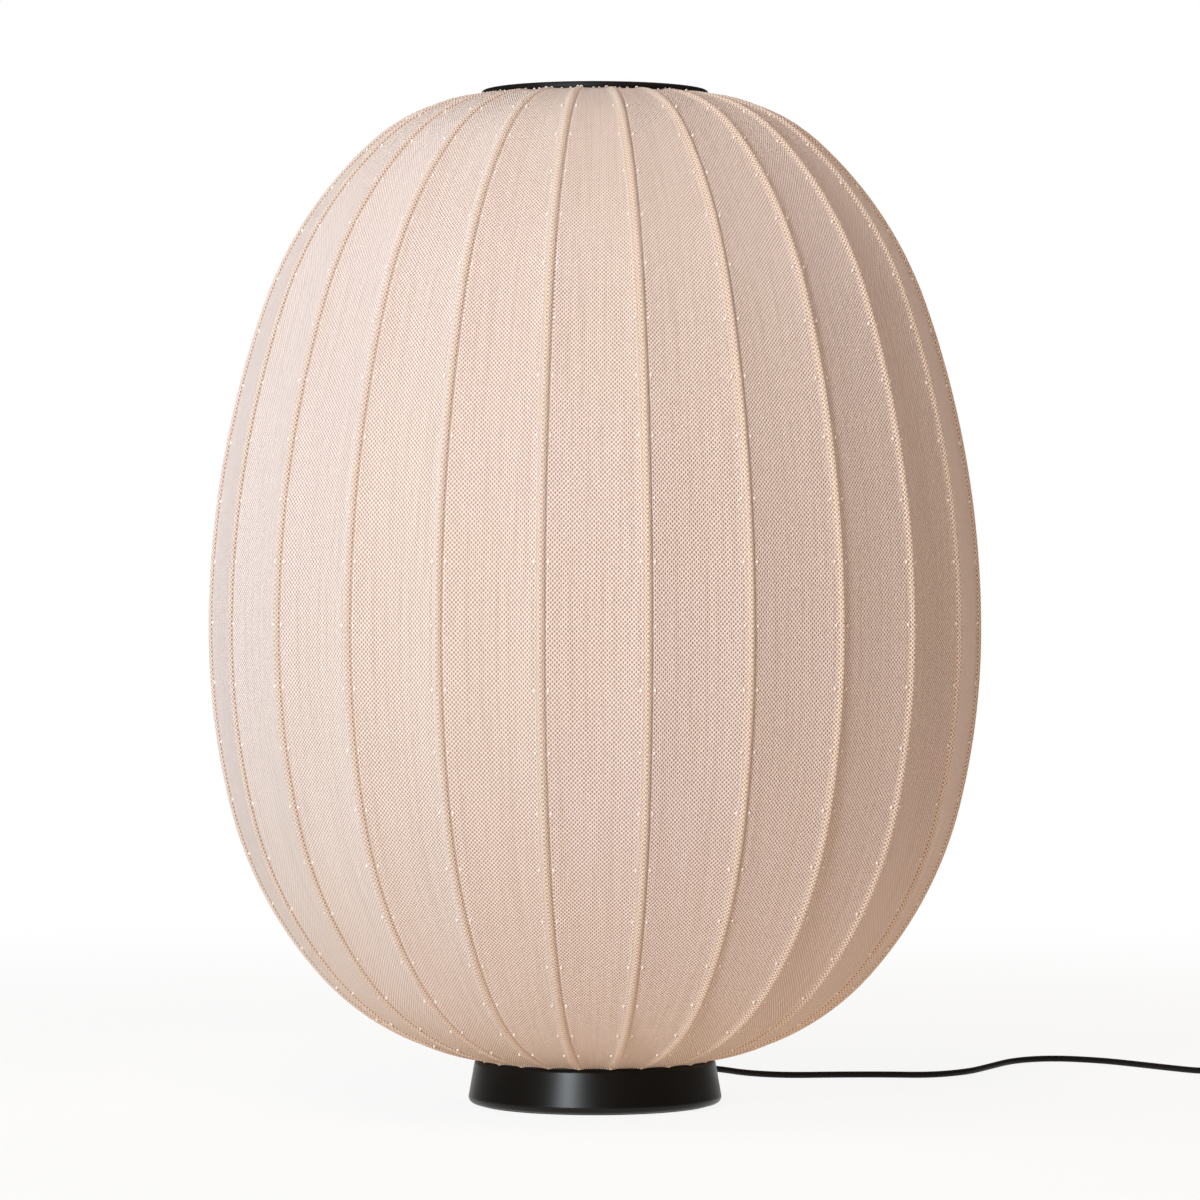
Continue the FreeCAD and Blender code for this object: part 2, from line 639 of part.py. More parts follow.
def strain_relief():
    """Moulded bush in the foot's wall with a tapered sleeve round the cord."""
    bore = CORD_RADIUS + RELIEF_CORD_FIT
    collar_end = FOOT_TOP_RADIUS - FOOT_WALL - RELIEF_SEAT_GAP
    flange_end = RELIEF_SEAT + RELIEF_FLANGE_LENGTH
    body = lathe(
        [
            (bore, collar_end - RELIEF_COLLAR_LENGTH),
            (RELIEF_COLLAR_RADIUS, collar_end - RELIEF_COLLAR_LENGTH),
            (RELIEF_COLLAR_RADIUS, collar_end),
            (RELIEF_NECK_RADIUS, collar_end),
            (RELIEF_NECK_RADIUS, RELIEF_SEAT),
            (RELIEF_FLANGE_RADIUS, RELIEF_SEAT),
            (RELIEF_FLANGE_RADIUS, flange_end),
            (RELIEF_TAPER_FOOT, flange_end),
            (RELIEF_TAPER_TIP, RELIEF_MOUTH),
            (bore, RELIEF_MOUTH),
        ]
    )
    return along_outlet(body)


def inner_cable():
    """Cord inside the lamp: through the relief, round a bend and up the stem to the holder."""
    bend = STEM_FOOT - OUTLET_HEIGHT
    mouth = Vector(0, RELIEF_MOUTH, OUTLET_HEIGHT)
    bend_start = Vector(0, bend, OUTLET_HEIGHT)
    bend_middle = Vector(0, bend - bend * sin(pi / 4), STEM_FOOT - bend * cos(pi / 4))
    bend_end = Vector(0, 0, STEM_FOOT)
    edges = [
        Part.LineSegment(mouth, bend_start).toShape(),
        Part.Arc(bend_start, bend_middle, bend_end).toShape(),
        Part.LineSegment(bend_end, Vector(0, 0, INSERT_FOOT)).toShape(),
    ]
    return swept(Part.Wire(edges), CORD_RADIUS, mouth, -ALONG_Y)


def rounded_route(points):
    """Path of straight runs and the widest tangent arcs that a cord's points allow.

    Returns the path, its length and the radii of its arcs.
    """
    edges, radii, start = [], [], points[0]
    for before, corner, after in zip(points, points[1:], points[2:]):
        run_in, run_out = corner - before, after - corner
        turn = run_in.getAngle(run_out)
        trim = ARC_SHARE_OF_RUN * min(run_in.Length, run_out.Length)
        radius = trim / tan(turn / 2)
        run_in.normalize()
        run_out.normalize()
        arc_start, arc_end = corner - run_in * trim, corner + run_out * trim
        inward = (run_out - run_in).normalize()
        arc_middle = corner + inward * (radius / cos(turn / 2) - radius)
        edges.append(Part.LineSegment(start, arc_start).toShape())
        edges.append(Part.Arc(arc_start, arc_middle, arc_end).toShape())
        radii.append(radius)
        start = arc_end
    edges.append(Part.LineSegment(start, points[-1]).toShape())
    path = Part.Wire(edges)
    return path, path.Length, radii


def cord_stretch(name, points):
    """Tube of the cord along a free stretch."""
    path, length, radii = rounded_route(points)
    solid = swept(path, CORD_RADIUS, points[0], points[1] - points[0])
    share = solid.Volume / (pi * CORD_RADIUS**2 * length)
    print(f"{name}: length {length:.0f}, least radius {min(radii):.1f}, volume share {share:.4f}")
    print("  radii", [round(radius) for radius in radii])
    return solid


def half_turns(start, steps):
    """Half-turn arcs one after another from a start heading +X, each step a radius and a climb."""
    edges, point, side = [], start, 1
    for radius, climb in steps:
        far = point + Vector(0, side * 2 * radius, climb)
        bulge = (far - point).Length / 2
        middle = (point + far) * 0.5 + ALONG_X * (side * bulge)
        edges.append(Part.Arc(point, middle, far).toShape())
        point = far
        side = -side
    return edges


def coil_path():
    """Two-layer coil of half-turn arcs: in along the floor, up a layer, and out again on top.

    Returns the edges from the coil's start, heading +X, to its end, heading -X.
    """
    lead = ALONG_X * (2 * CORD_RADIUS)
    layer = [(COIL_OUTER_RADIUS - COIL_PITCH / 2 * k, 0.0) for k in range(COIL_HALF_TURNS_PER_LAYER)]
    waist = COIL_OUTER_RADIUS - COIL_PITCH / 2 * COIL_HALF_TURNS_PER_LAYER
    turns = half_turns(COIL_START + lead, layer + [(waist, COIL_LAYER)] + layer[::-1])
    end = turns[-1].valueAt(turns[-1].LastParameter)
    first = Part.LineSegment(COIL_START, COIL_START + lead).toShape()
    return [first] + turns + [Part.LineSegment(end, end - lead).toShape()]


def coil_points(edges):
    """Points spaced a wire's radius along the coil."""
    points = []
    for edge in edges:
        points += edge.discretize(max(2, int(edge.Length / CORD_RADIUS)))[1:]
    return points


def least_self_gap(points):
    """Least clear distance of a coil to itself, on points more than a quarter turn apart along it."""
    apart = int(pi * COIL_OUTER_RADIUS / CORD_RADIUS / 2)
    nearest = min((p - q).Length for k, p in enumerate(points) for q in points[k + apart:])
    return nearest - 2 * CORD_RADIUS


def cord_coil():
    """Spare cord wound into a flat coil, one unbroken tube."""
    edges = coil_path()
    path = Part.Wire(edges)
    solid = swept(path, CORD_RADIUS, COIL_START, ALONG_X)
    share = solid.Volume / (pi * CORD_RADIUS**2 * path.Length)
    gap = least_self_gap(coil_points(edges))
    print(f"cord_coil: length {path.Length:.0f}, least gap {gap:.2f}, volume share {share:.4f}")
    return solid


def coil_end():
    """Place where the coil's tube ends, heading -X."""
    last = coil_path()[-1]
    return last.valueAt(last.LastParameter)


def coil_tie():
    """Band round all turns on the coil's near side, between it and the switch."""
    centre = COIL_START + Vector(2 * CORD_RADIUS, COIL_OUTER_RADIUS, 0)
    half = TIE_BAND_WIDTH / 2
    points = [p for p in coil_points(coil_path()) if abs(p.y - centre.y) < half + CORD_RADIUS]
    points = [p for p in points if p.x < centre.x]
    margin = CORD_RADIUS + TIE_BAND_GAP
    low = Vector(min(p.x for p in points) - margin, centre.y - half, min(p.z for p in points) - margin)
    high = Vector(max(p.x for p in points) + margin, centre.y + half, max(p.z for p in points) + margin)
    wall = Vector(TIE_BAND_THICKNESS, 0, TIE_BAND_THICKNESS)

    def block(corner, far, round_radius):
        size = far - corner
        box = Part.makeBox(size.x, size.y, size.z, corner)
        upright = [e for e in box.Edges if abs(e.tangentAt(e.FirstParameter).y) > 0.5]
        return box.makeFillet(round_radius, upright)

    outer = block(low - wall, high + wall, TIE_BAND_ROUND + TIE_BAND_THICKNESS)
    return outer.cut(block(low, high, TIE_BAND_ROUND))


def plug_route():
    """Cord from the coil's end down to the plug's taper, heading -X."""
    start = coil_end()
    axis_height = PLUG_THICKNESS / 2 + PLUG_FLOOR_GAP
    return [
        start,
        start - ALONG_X * 14,
        Vector(start.x - 33, start.y + 1.5, (start.z + axis_height) / 2),
        Vector(start.x - 52, start.y, axis_height),
        Vector(start.x - 66, start.y, axis_height),
    ]


def plug_body():
    """Flat moulded plug with its tapered cord sleeve, the pins' face towards -X."""
    mouth = plug_route()[-1]
    back = mouth.x - PLUG_TAPER_LENGTH
    front = back - PLUG_LENGTH
    shoulder = front + PLUG_SHOULDER
    half, neck = PLUG_WIDTH / 2, PLUG_NECK_WIDTH / 2
    outline = [(front, -half), (shoulder, -half), (back, -neck)]
    outline += [(x, -y) for x, y in reversed(outline)]
    corners = [Vector(x, mouth.y + y, PLUG_FLOOR_GAP) for x, y in outline]
    body = Part.Face(Part.makePolygon(corners + corners[:1])).extrude(UP * PLUG_THICKNESS)
    kept_sharp = [e for e in body.Edges if all(abs(v.X - front) < SAME_PLACE for v in e.Vertexes)]
    edges = [e for e in body.Edges if not any(e.isSame(k) for k in kept_sharp)]
    body = body.makeFillet(PLUG_ROUND, edges)
    taper = Part.makeCone(PLUG_TAPER_TIP, PLUG_TAPER_FOOT, PLUG_TAPER_LENGTH, mouth, -ALONG_X)
    return body.fuse(taper).removeSplitter()


def plug_pins():
    """Two round pins with rounded ends."""
    mouth = plug_route()[-1]
    front = mouth - ALONG_X * (PLUG_TAPER_LENGTH + PLUG_LENGTH)
    pins = []
    for side in (-1, 1):
        place = front + ALONG_Y * (side * PIN_SPACING / 2)
        pin = Part.makeCylinder(PIN_RADIUS, PIN_LENGTH, place, -ALONG_X)
        tip = [e for e in pin.Edges if all(abs(v.X - front.x + PIN_LENGTH) < SAME_PLACE for v in e.Vertexes)]
        pins.append(pin.makeFillet(PIN_ROUND, tip))
    return Part.makeCompound(pins)


def switch_block(low, high, inset):
    """Round-ended block of the switch between two heights, moved inwards by an inset."""
    corner = Vector(inset, inset - SWITCH_WIDTH / 2, low)
    box = Part.makeBox(SWITCH_LENGTH - 2 * inset, SWITCH_WIDTH - 2 * inset, high - low, corner)
    upright = [e for e in box.Edges if abs(e.tangentAt(e.FirstParameter).z) > 0.5]
    return box.makeFillet(SWITCH_CORNER - inset, upright)


def switch_cord_holes():
    """Holes through both ends of the switch for the cord, half in the base and half in the cover."""
    return Part.makeCylinder(CORD_RADIUS + SWITCH_CORD_FIT, SWITCH_LENGTH, UP * SWITCH_SPLIT, ALONG_X)


def switch_boss_places():
    """Places of the two screw bosses of the switch."""
    middle = SWITCH_LENGTH / 2
    return [Vector(middle + side * SWITCH_BOSS_SPREAD / 2, 0, 0) for side in (-1, 1)]


def switch_base():
    """Lower tray of the switch with the spring's post."""
    tray = rounded_at(switch_block(0, SWITCH_SPLIT, 0), SWITCH_FOOT_ROUND, 0)
    tray = tray.cut(switch_block(SWITCH_WALL, SWITCH_SPLIT, SWITCH_WALL))
    post_high = SWITCH_WALL + SPRING_POST_HEIGHT
    post = rod(SPRING_POST_RADIUS, SWITCH_WALL, post_high, ALONG_X * (SWITCH_LENGTH / 2))
    holes = []
    for place in switch_boss_places():
        holes.append(rod(SWITCH_SCREW_RADIUS + SCREW_CLEARANCE, 0, SWITCH_WALL, place))
        holes.append(rod(SWITCH_SCREW_HEAD + SCREW_CLEARANCE, 0, SWITCH_SCREW_HEAD_HEIGHT, place))
    return tray.fuse(post).removeSplitter().cut(holes + [switch_cord_holes()])


def switch_cover():
    """Domed cover of the switch with the button's hole and two screw bosses."""
    outer = rounded_at(switch_block(SWITCH_SPLIT, SWITCH_HEIGHT, 0), SWITCH_CROWN_ROUND, SWITCH_HEIGHT)
    ceiling = SWITCH_HEIGHT - SWITCH_WALL
    hollow = switch_block(SWITCH_SPLIT, ceiling, SWITCH_WALL)
    hollow = rounded_at(hollow, SWITCH_CROWN_ROUND - SWITCH_WALL, ceiling)
    cover = outer.cut(hollow)
    boss_low = SWITCH_WALL + SWITCH_BOSS_FIT
    bosses = [rod(SWITCH_BOSS_RADIUS, boss_low, ceiling, p) for p in switch_boss_places()]
    screw_top = SWITCH_SCREW_LENGTH + SCREW_CLEARANCE
    holes = [rod(SWITCH_SCREW_RADIUS + SCREW_FIT, 0, screw_top, p) for p in switch_boss_places()]
    middle = ALONG_X * (SWITCH_LENGTH / 2)
    button_hole = rod(BUTTON_RADIUS + BUTTON_FIT, SWITCH_SPLIT, SWITCH_HEIGHT, middle)
    return cover.fuse(bosses).removeSplitter().cut(holes + [button_hole, switch_cord_holes()])


def button_pocket_top():
    """Height of the spring's seat inside the button."""
    return SWITCH_HEIGHT + BUTTON_RISE - BUTTON_TOP_WALL


def switch_button():
    """Push button held under the cover by its flange, with a pocket for the spring."""
    flange_high = SWITCH_HEIGHT - SWITCH_WALL - BUTTON_STOP_GAP
    flange_low = flange_high - BUTTON_FLANGE_HEIGHT
    high = SWITCH_HEIGHT + BUTTON_RISE
    body = rounded_at(rod(BUTTON_RADIUS, flange_low, high), BUTTON_ROUND, high)
    flange = rod(BUTTON_RADIUS + BUTTON_FLANGE, flange_low, flange_high)
    pocket = rod(BUTTON_POCKET_RADIUS, flange_low, button_pocket_top())
    button = body.fuse(flange).removeSplitter().cut(pocket)
    button.translate(ALONG_X * (SWITCH_LENGTH / 2))
    return button


def switch_spring():
    """Coil spring between the tray and the button."""
    low = SWITCH_WALL + SPRING_WIRE_RADIUS + SPRING_SEAT_GAP
    height = button_pocket_top() - SPRING_WIRE_RADIUS - SPRING_SEAT_GAP - low
    start = Vector(SWITCH_LENGTH / 2, -SPRING_RADIUS, low)
    half_turn = (SPRING_RADIUS, height / (2 * SPRING_TURNS))
    path = Part.Wire(half_turns(start, [half_turn] * (2 * SPRING_TURNS)))
    return swept(path, SPRING_WIRE_RADIUS, start, ALONG_X)


def switch_screws():
    """Two screws from under the tray into the cover's bosses."""
    screws = []
    for place in switch_boss_places():
        head = rod(SWITCH_SCREW_HEAD, 0, SWITCH_SCREW_HEAD_HEIGHT, place)
        shank = rod(SWITCH_SCREW_RADIUS, 0, SWITCH_SCREW_LENGTH, place)
        screws.append(head.fuse(shank).removeSplitter())
    return Part.makeCompound(screws)


def switch_pieces():
    """Foot switch on the cord."""
    pieces = {
        "switch_base": switch_base(),
        "switch_cover": switch_cover(),
        "switch_button": switch_button(),
        "switch_spring": switch_spring(),
        "switch_screws": switch_screws(),
    }
    for piece in pieces.values():
        piece.translate(SWITCH_PLACE)
    return pieces


def cord_pieces():
    """Free cord from the strain relief to the plug."""
    entry = ALONG_X * SWITCH_CORD_ENTRY
    lead = LEAD_ROUTE[:-1] + [LEAD_ROUTE[-1] + entry]
    tail = [TAIL_ROUTE[0] - entry] + TAIL_ROUTE[1:]
    return {
        "cord_lead": cord_stretch("cord_lead", lead),
        "cord_tail": cord_stretch("cord_tail", tail),
        "cord_coil": cord_coil(),
        "coil_tie": coil_tie(),
        "cord_end": cord_stretch("cord_end", plug_route()),
        "plug_body": plug_body(),
        "plug_pins": plug_pins(),
    }


def build():
    """All pieces by node name."""
    pieces = {"knit_shade": knit_shade(), "top_ring": top_ring(), "lower_ring": lower_ring()}
    first_rod = turned(shade_rod(), 180 / RIB_COUNT)
    for k, piece in enumerate(around(first_rod, RIB_COUNT)):
        pieces[f"shade_rod_{k + 1:02d}"] = piece
    pieces["foot_shell"] = foot_shell()
    pieces["foot_ballast"] = foot_ballast()
    pieces["foot_plate"] = foot_plate()
    pieces["foot_pad"] = foot_pad()
    pieces["tie_screws"] = tie_screws()
    pieces["strain_relief"] = strain_relief()
    pieces["inner_cable"] = inner_cable()
    for group in (stem_pieces(), holder_pieces(), bulb_pieces(), switch_pieces(), cord_pieces()):
        pieces.update(group)
    return pieces


os.makedirs("parts", exist_ok=True)
for node, shape in build().items():
    shape.exportStep(f"parts/{node}.step")
    print(node, shape.isValid(), len(shape.Solids), round(shape.Volume, 1))
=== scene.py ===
from math import cos, pi, radians, sin
from random import Random
from typing import NamedTuple

import bmesh
import bpy
from mathutils import Matrix, Vector


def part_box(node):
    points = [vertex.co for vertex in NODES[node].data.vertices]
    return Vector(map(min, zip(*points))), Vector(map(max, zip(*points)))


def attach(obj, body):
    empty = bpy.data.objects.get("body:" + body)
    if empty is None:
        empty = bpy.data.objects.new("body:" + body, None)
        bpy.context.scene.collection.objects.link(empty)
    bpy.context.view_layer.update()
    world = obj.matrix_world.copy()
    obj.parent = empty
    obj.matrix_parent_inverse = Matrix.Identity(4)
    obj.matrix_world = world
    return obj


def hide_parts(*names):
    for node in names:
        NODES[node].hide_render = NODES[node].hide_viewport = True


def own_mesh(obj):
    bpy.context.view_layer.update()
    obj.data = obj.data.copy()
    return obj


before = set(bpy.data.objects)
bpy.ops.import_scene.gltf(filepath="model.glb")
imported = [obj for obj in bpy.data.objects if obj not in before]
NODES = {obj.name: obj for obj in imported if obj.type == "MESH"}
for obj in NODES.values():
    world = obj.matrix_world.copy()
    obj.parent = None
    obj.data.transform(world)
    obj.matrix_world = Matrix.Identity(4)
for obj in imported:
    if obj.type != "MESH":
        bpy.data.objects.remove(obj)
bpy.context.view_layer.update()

# Knitted floor lamp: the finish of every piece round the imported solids. Metres, +Z up, the front faces -Y.

MM = 0.001
ALONG_X = Vector((1, 0, 0))
UP = Vector((0, 0, 1))

# Camera of the photograph
CAMERA_PLACE = Vector((0.0042, -4.36, 0.455))
CAMERA_PITCH = radians(-0.41)
CAMERA_LENS = 155.3
CAMERA_SENSOR = 36.0

# Shade: the ridge of a rib as three tangent arcs above and below the widest height
RIB_COUNT = 24
HALF_RIB_ANGLE = pi / RIB_COUNT
SHADE_RADIUS = 325.0 * MM
WIDEST_HEIGHT = 399.0 * MM
CROWN_RADIUS = 94.9 * MM
CROWN_HEIGHT = 847.5 * MM
HEM_RADIUS = 100.7 * MM
HEM_HEIGHT = 38.6 * MM
UPPER_HEADINGS = (19.3, 47.7, 86.8)
LOWER_HEADINGS = (13.5, 41.6, 81.4)
UPPER_ARC_RATIO = 2.2
LOWER_ARC_RATIO = 1.53
STATION_STEP = 11.0 * MM

# Rod channel, flatter where it runs out at the rings, and the panel between two channels
CHANNEL_DEPTH = 2.2 * MM
CHANNEL_HALF_WIDTH = 3.9 * MM
CHANNEL_ROUNDNESS = 2.2
CHANNEL_RUN_OUT = 55.0 * MM
CHANNEL_END_SHARE = 0.22
CHANNEL_COLUMNS = 6
CHANNEL_CROWDING = 1.5
CHANNEL_MARGIN = 1.4 * MM
PANEL_COLUMNS = 5
PANEL_DIP_PER_WIDTH = 0.027
KNIT_THICKNESS = 0.9 * MM
HEM_LIP_OUT = -0.25 * MM
HEM_LIP_UP = -1.3 * MM
SEWN_WITHIN = 0.01 * MM

# Stitches, and the fashioning knots along the ribs
WALE_PITCH = 1.72 * MM
WALE_END_SHARE = 0.3
COURSES_PER_KNOT = 27.0
KNOT_COUNT = 20
FIRST_KNOT_FROM_CROWN = 69.5 * MM
LAST_KNOT_FROM_CROWN = 960.4 * MM
KNOT_CROWDING = 0.08
KNOT_FROM_RIB = 6.0 * MM
KNOT_RADIUS = 1.2 * MM
KNOT_STRETCH = (1, 0.9, 1.25, 1)
KNOT_PROUD = 0.4 * MM
RIB_STITCHES = 4.55 * MM
RIB_WALE_PITCH = 1.3 * MM

# Pattern of the knit: where each band lies beside a rib in millimetres, and where it ends in courses
FLANK = (3.5, 3.0)
FOOT_OF_FLANK = (1.9, 2.3)
# Painted shade lies along the crease at the foot of each channel, between these two bands
SHADED_CREASE_START = (2.9, 3.4)
SHADED_CREASE_END = (4.4, 4.0)
PALE_LINE_START = (4.4, 4.8)
PALE_LINE_END = (5.8, 5.3)
CROWN_COURSES = (-43.0, -8.0)
HEM_COURSES = (541.0, 515.0)
SHARE_AT_RINGS = 0.4
WALE_WANDER = 1.2
WANDER_SCALE = 0.09
COLUMN_SHARE = 0.3
GAP_SHADE_EDGE = (0.05, 0.9)
HOLE_SHADE_EDGE = (-0.2, 0.6)
CREST_HIGHLIGHT_EDGE = (0.0, 0.9)
STREAK_STRETCH = (0.4, 0.012, 1.0)
STREAK_EDGE = (0.40, 0.68)
BLUSH_SCALE = 3.0
BLUSH_EDGE = (0.38, 0.62)
STITCH_HEIGHT = 0.5 * MM

# Colours of the knit, and its tints: the share of a tint, then its colour
SAND_YARN = (0.83, 0.71, 0.645)
ROSE_YARN = (0.82, 0.70, 0.69)
STREAK_YARN = (0.74, 0.61, 0.54)
# Painted shade: the brown seen in the gaps between the loops
GAP_SHADE_BROWN = (0.36, 0.215, 0.155)
GAP_SHADE_SHARE = 0.75
GAP_SHADE_LOST_ON_FLANK = 0.45
LEFT_FLANK_TINT = (0.7, (0.84, 0.68, 0.53))
# Painted shade in the crease on a channel's left side
LEFT_CREASE_SHADE = (0.7, (0.72, 0.53, 0.38))
# Painted highlight on the crests of the loops
CREST_HIGHLIGHT_TINT = (0.7, (0.95, 0.91, 0.885))
RIGHT_FLANK_TINT = (0.4, (0.83, 0.67, 0.53))
# Painted shade in dark holes at the foot of a channel's right flank
HOLE_SHADE_TINT = (0.55, (0.24, 0.14, 0.09))
# Painted shade in the crease on a channel's right side, the darker one
RIGHT_CREASE_SHADE = (0.42, (0.40, 0.255, 0.17))
PALE_LINE_TINT = (0.45, (0.95, 0.89, 0.83))

# Pale yarn loops where the knit is tucked under the top ring
EDGE_LOOPS_PER_GORE = 4
EDGE_LOOPS_FROM_CROWN = 3.0 * MM
EDGE_LOOP_RADIUS = 0.9 * MM
EDGE_LOOP_STEPS = 6
EDGE_YARN_RADIUS = 0.45 * MM
EDGE_YARN_SIDES = 5
EDGE_LOOP_SEED = 11
EDGE_LOOP_PLACES = (0.1, 0.9)
EDGE_LOOP_LEANS = (-0.5, 0.5)
EDGE_LOOP_SIZES = (0.6, 1.2)

# Cord: the same points as the solid's route, with the coil's turns drawn up close
CORD_RADIUS = 2.75 * MM
ROUTE_ON_FLOOR = 2.8
LEAD_ROUTE_MM = [
    (0, 140.7, 14), (0, 162.7, 14), (2, 190, 8), (10, 222, ROUTE_ON_FLOOR), (26, 262, ROUTE_ON_FLOOR),
    (52, 288, ROUTE_ON_FLOOR), (84, 288, ROUTE_ON_FLOOR), (112, 262, ROUTE_ON_FLOOR),
    (134, 226, ROUTE_ON_FLOOR), (168, 207, ROUTE_ON_FLOOR), (212, 213, ROUTE_ON_FLOOR),
    (256, 214, ROUTE_ON_FLOOR), (296, 208, ROUTE_ON_FLOOR), (331, 238, ROUTE_ON_FLOOR),
    (352, 282, ROUTE_ON_FLOOR), (380, 344, ROUTE_ON_FLOOR), (418, 366, ROUTE_ON_FLOOR),
    (460, 343, ROUTE_ON_FLOOR), (490, 306, ROUTE_ON_FLOOR), (520, 266, ROUTE_ON_FLOOR),
    (541, 243, ROUTE_ON_FLOOR), (558, 233, 6), (574, 231, 9), (586, 231, 9),
]
TAIL_ROUTE_MM = [(670, 231, 9), (684, 231, 9), (704, 232, 6), (724, 229, 3.9), (738, 229, 3.9)]
COIL_HALF_TURNS_PER_LAYER = 7
COIL_OUTER_RADIUS = 42.9 * MM
COIL_PITCH = 5.6 * MM
COIL_LAYER = 6.2 * MM
COIL_POINTS_PER_HALF_TURN = 8
COIL_TO_BEND = 14.0 * MM
COIL_TO_DROP = 33.0 * MM
COIL_TO_PLUG_LINE = 52.0 * MM
COIL_TO_PLUG = 66.0 * MM
PLUG_AXIS_HEIGHT = 7.05 * MM
PLUG_AXIS_Y = 323.0 * MM
DROP_BESIDE_AXIS = 0.5 * MM
CORD_STEPS = 6
CORD_ROUNDNESS = 4

# Spring under the switch's button
SPRING_TURNS = 6
SPRING_WIRE_RADIUS = 0.5 * MM
SPRING_STEPS_PER_TURN = 24
SPRING_WIRE_SIDES = 8

# Studio: the white floor and backdrop, and what a gloss sees of the ceiling, the backdrop and the dim sides
WHITE = (1.0, 1.0, 1.0)
FLOOR_BASE = (0.9, 0.9, 0.9)
FLOOR_HALF_SIZE = 12.0
FLOOR_DROP = 0.2 * MM
FLOOR_WHITE = 1.0
FLOOR_SHADOW = 0.12
SHADOW_FADE = (2.4, 0.8)
DIM_STUDIO = (0.05, 0.042, 0.034)
STUDIO_CEILING = (0.62, 0.6, 0.57)
CEILING_EDGE = (0.4, 0.85)
BACKDROP_EDGE = (0.88, 0.97)

# Light of the room and from the floor, and the lamps: place, width, height, and power in red, green and blue
ROOM_LIGHT = (0.13, 0.095, 0.085)
FLOOR_LIGHT = (0.84, 0.615, 0.43)
LAMPS = {
    "key": ((-1.69, -3.63, 1.2), 0.6, 0.8, (91.0, 98.0, 103.0)),
    "left": ((-3.6, 0.8, 1.0), 1.4, 1.8, (30.0, 48.0, 62.0)),
    "top": ((-0.5, -0.9, 3.0), 1.6, 1.6, (38.0, 30.0, 23.0)),
    "right": ((2.6, -3.2, 0.6), 1.4, 1.4, (18.0, 16.0, 17.0)),
    "back": ((2.4, 3.8, 1.5), 2.0, 1.8, (76.0, 66.0, 58.0)),
}
GLOSSY_LAMP = "key"
LAMP_AIM = Vector((0, 0, 0.45))

# Sockets of a Mix node that mixes colours: the share, the two colours and the result
MIX_INPUTS = (0, 6, 7)
MIX_RESULT = 2


def new_piece(name, bm, material):
    """Smooth object made from a bmesh, riding on the lamp."""
    mesh = bpy.data.meshes.new(name)
    for face in bm.faces:
        face.smooth = True
    bm.to_mesh(mesh)
    bm.free()
    piece = bpy.data.objects.new(name, mesh)
    bpy.context.scene.collection.objects.link(piece)
    mesh.materials.append(material)
    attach(piece, "lamp")
    return piece


def repeat_round_lamp(bm):
    """Repeat what a bmesh holds for one gore at all the other gores."""
    copies = RIB_COUNT - 1
    bmesh.ops.spin(
        bm, geom=bm.verts[:] + bm.edges[:] + bm.faces[:], axis=UP, cent=(0, 0, 0), steps=copies,
        angle=2 * pi * copies / RIB_COUNT, use_duplicate=True,
    )


# Materials


class Nodes:
    """A node tree, with short calls that add nodes and join them."""

    def __init__(self, tree):
        self.tree = tree

    def node(self, kind, **settings):
        """New node with some of its settings."""
        made = self.tree.nodes.new(kind)
        for key, value in settings.items():
            setattr(made, key, value)
        return made

    def join(self, source, target):
        """Join one node's output to another's input."""
        self.tree.links.new(source, target)

    def feed(self, value, socket):
        """Give a socket a number, a colour or another node's output."""
        if isinstance(value, (int, float)):
            socket.default_value = value
        elif isinstance(value, tuple):
            socket.default_value = (*value, 1.0)
        else:
            self.join(value, socket)

    def math(self, operation, *values):
        """Sum, product or the like of values."""
        made = self.node("ShaderNodeMath", operation=operation)
        for value, socket in zip(values, made.inputs):
            self.feed(value, socket)
        return made.outputs[0]

    def mix(self, share, first, second):
        """Colour that goes from the first to the second by a share."""
        made = self.node("ShaderNodeMix", data_type="RGBA")
        for value, index in zip((share, first, second), MIX_INPUTS):
            self.feed(value, made.inputs[index])
        return made.outputs[MIX_RESULT]

    def tinted(self, colour, where, tint):
        """Colour with a tint laid over it, where a mask says."""
        share, tint_colour = tint
        return self.mix(self.math("MULTIPLY", where, share), colour, tint_colour)

    def parts(self, vector):
        """X, Y and Z of a vector."""
        made = self.node("ShaderNodeSeparateXYZ")
        self.join(vector, made.inputs[0])
        return made.outputs["X"], made.outputs["Y"], made.outputs["Z"]

    def noise(self, vector, scale, detail=2.0, roughness=0.5):
        """Cloudy pattern from 0 to 1."""
        made = self.node("ShaderNodeTexNoise")
        self.join(vector, made.inputs["Vector"])
        made.inputs["Scale"].default_value = scale
        made.inputs["Detail"].default_value = detail
        made.inputs["Roughness"].default_value = roughness
        return made.outputs["Fac"]

    def between(self, value, low, high):
        """Soft step from 0 to 1 as a value goes from the first edge to the second, in either direction."""
        made = self.node("ShaderNodeMapRange", interpolation_type="SMOOTHSTEP")
        self.join(value, made.inputs["Value"])
        made.inputs["From Min"].default_value = min(low, high)
        made.inputs["From Max"].default_value = max(low, high)
        made.inputs["To Min"].default_value = float(low > high)
        made.inputs["To Max"].default_value = float(low < high)
        return made.outputs["Result"]


class Finish(Nodes):
    """A new material with its principled shader."""

    def __init__(self, name, roughness):
        self.material = bpy.data.materials.new(name)
        self.material.use_nodes = True
        super().__init__(self.material.node_tree)
        self.shader = self.tree.nodes["Principled BSDF"]
        self.output = self.tree.nodes["Material Output"]
        self.set("Roughness", roughness)

    def set(self, name, value):
        """Give one of the shader's sockets its value."""
        self.feed(value, self.shader.inputs[name])

    def place(self):
        """Place on the object."""
        return self.node("ShaderNodeTexCoord").outputs["Object"]

    def uv(self, name):
        """Place on one of the piece's own UV maps."""
        return self.node("ShaderNodeUVMap", uv_map=name).outputs["UV"]

    def bump(self, height, strength, distance):
        """Raise the surface by a pattern."""
        made = self.node("ShaderNodeBump")
        self.join(height, made.inputs["Height"])
        made.inputs["Strength"].default_value = strength
        made.inputs["Distance"].default_value = distance
        self.set("Normal", made.outputs["Normal"])


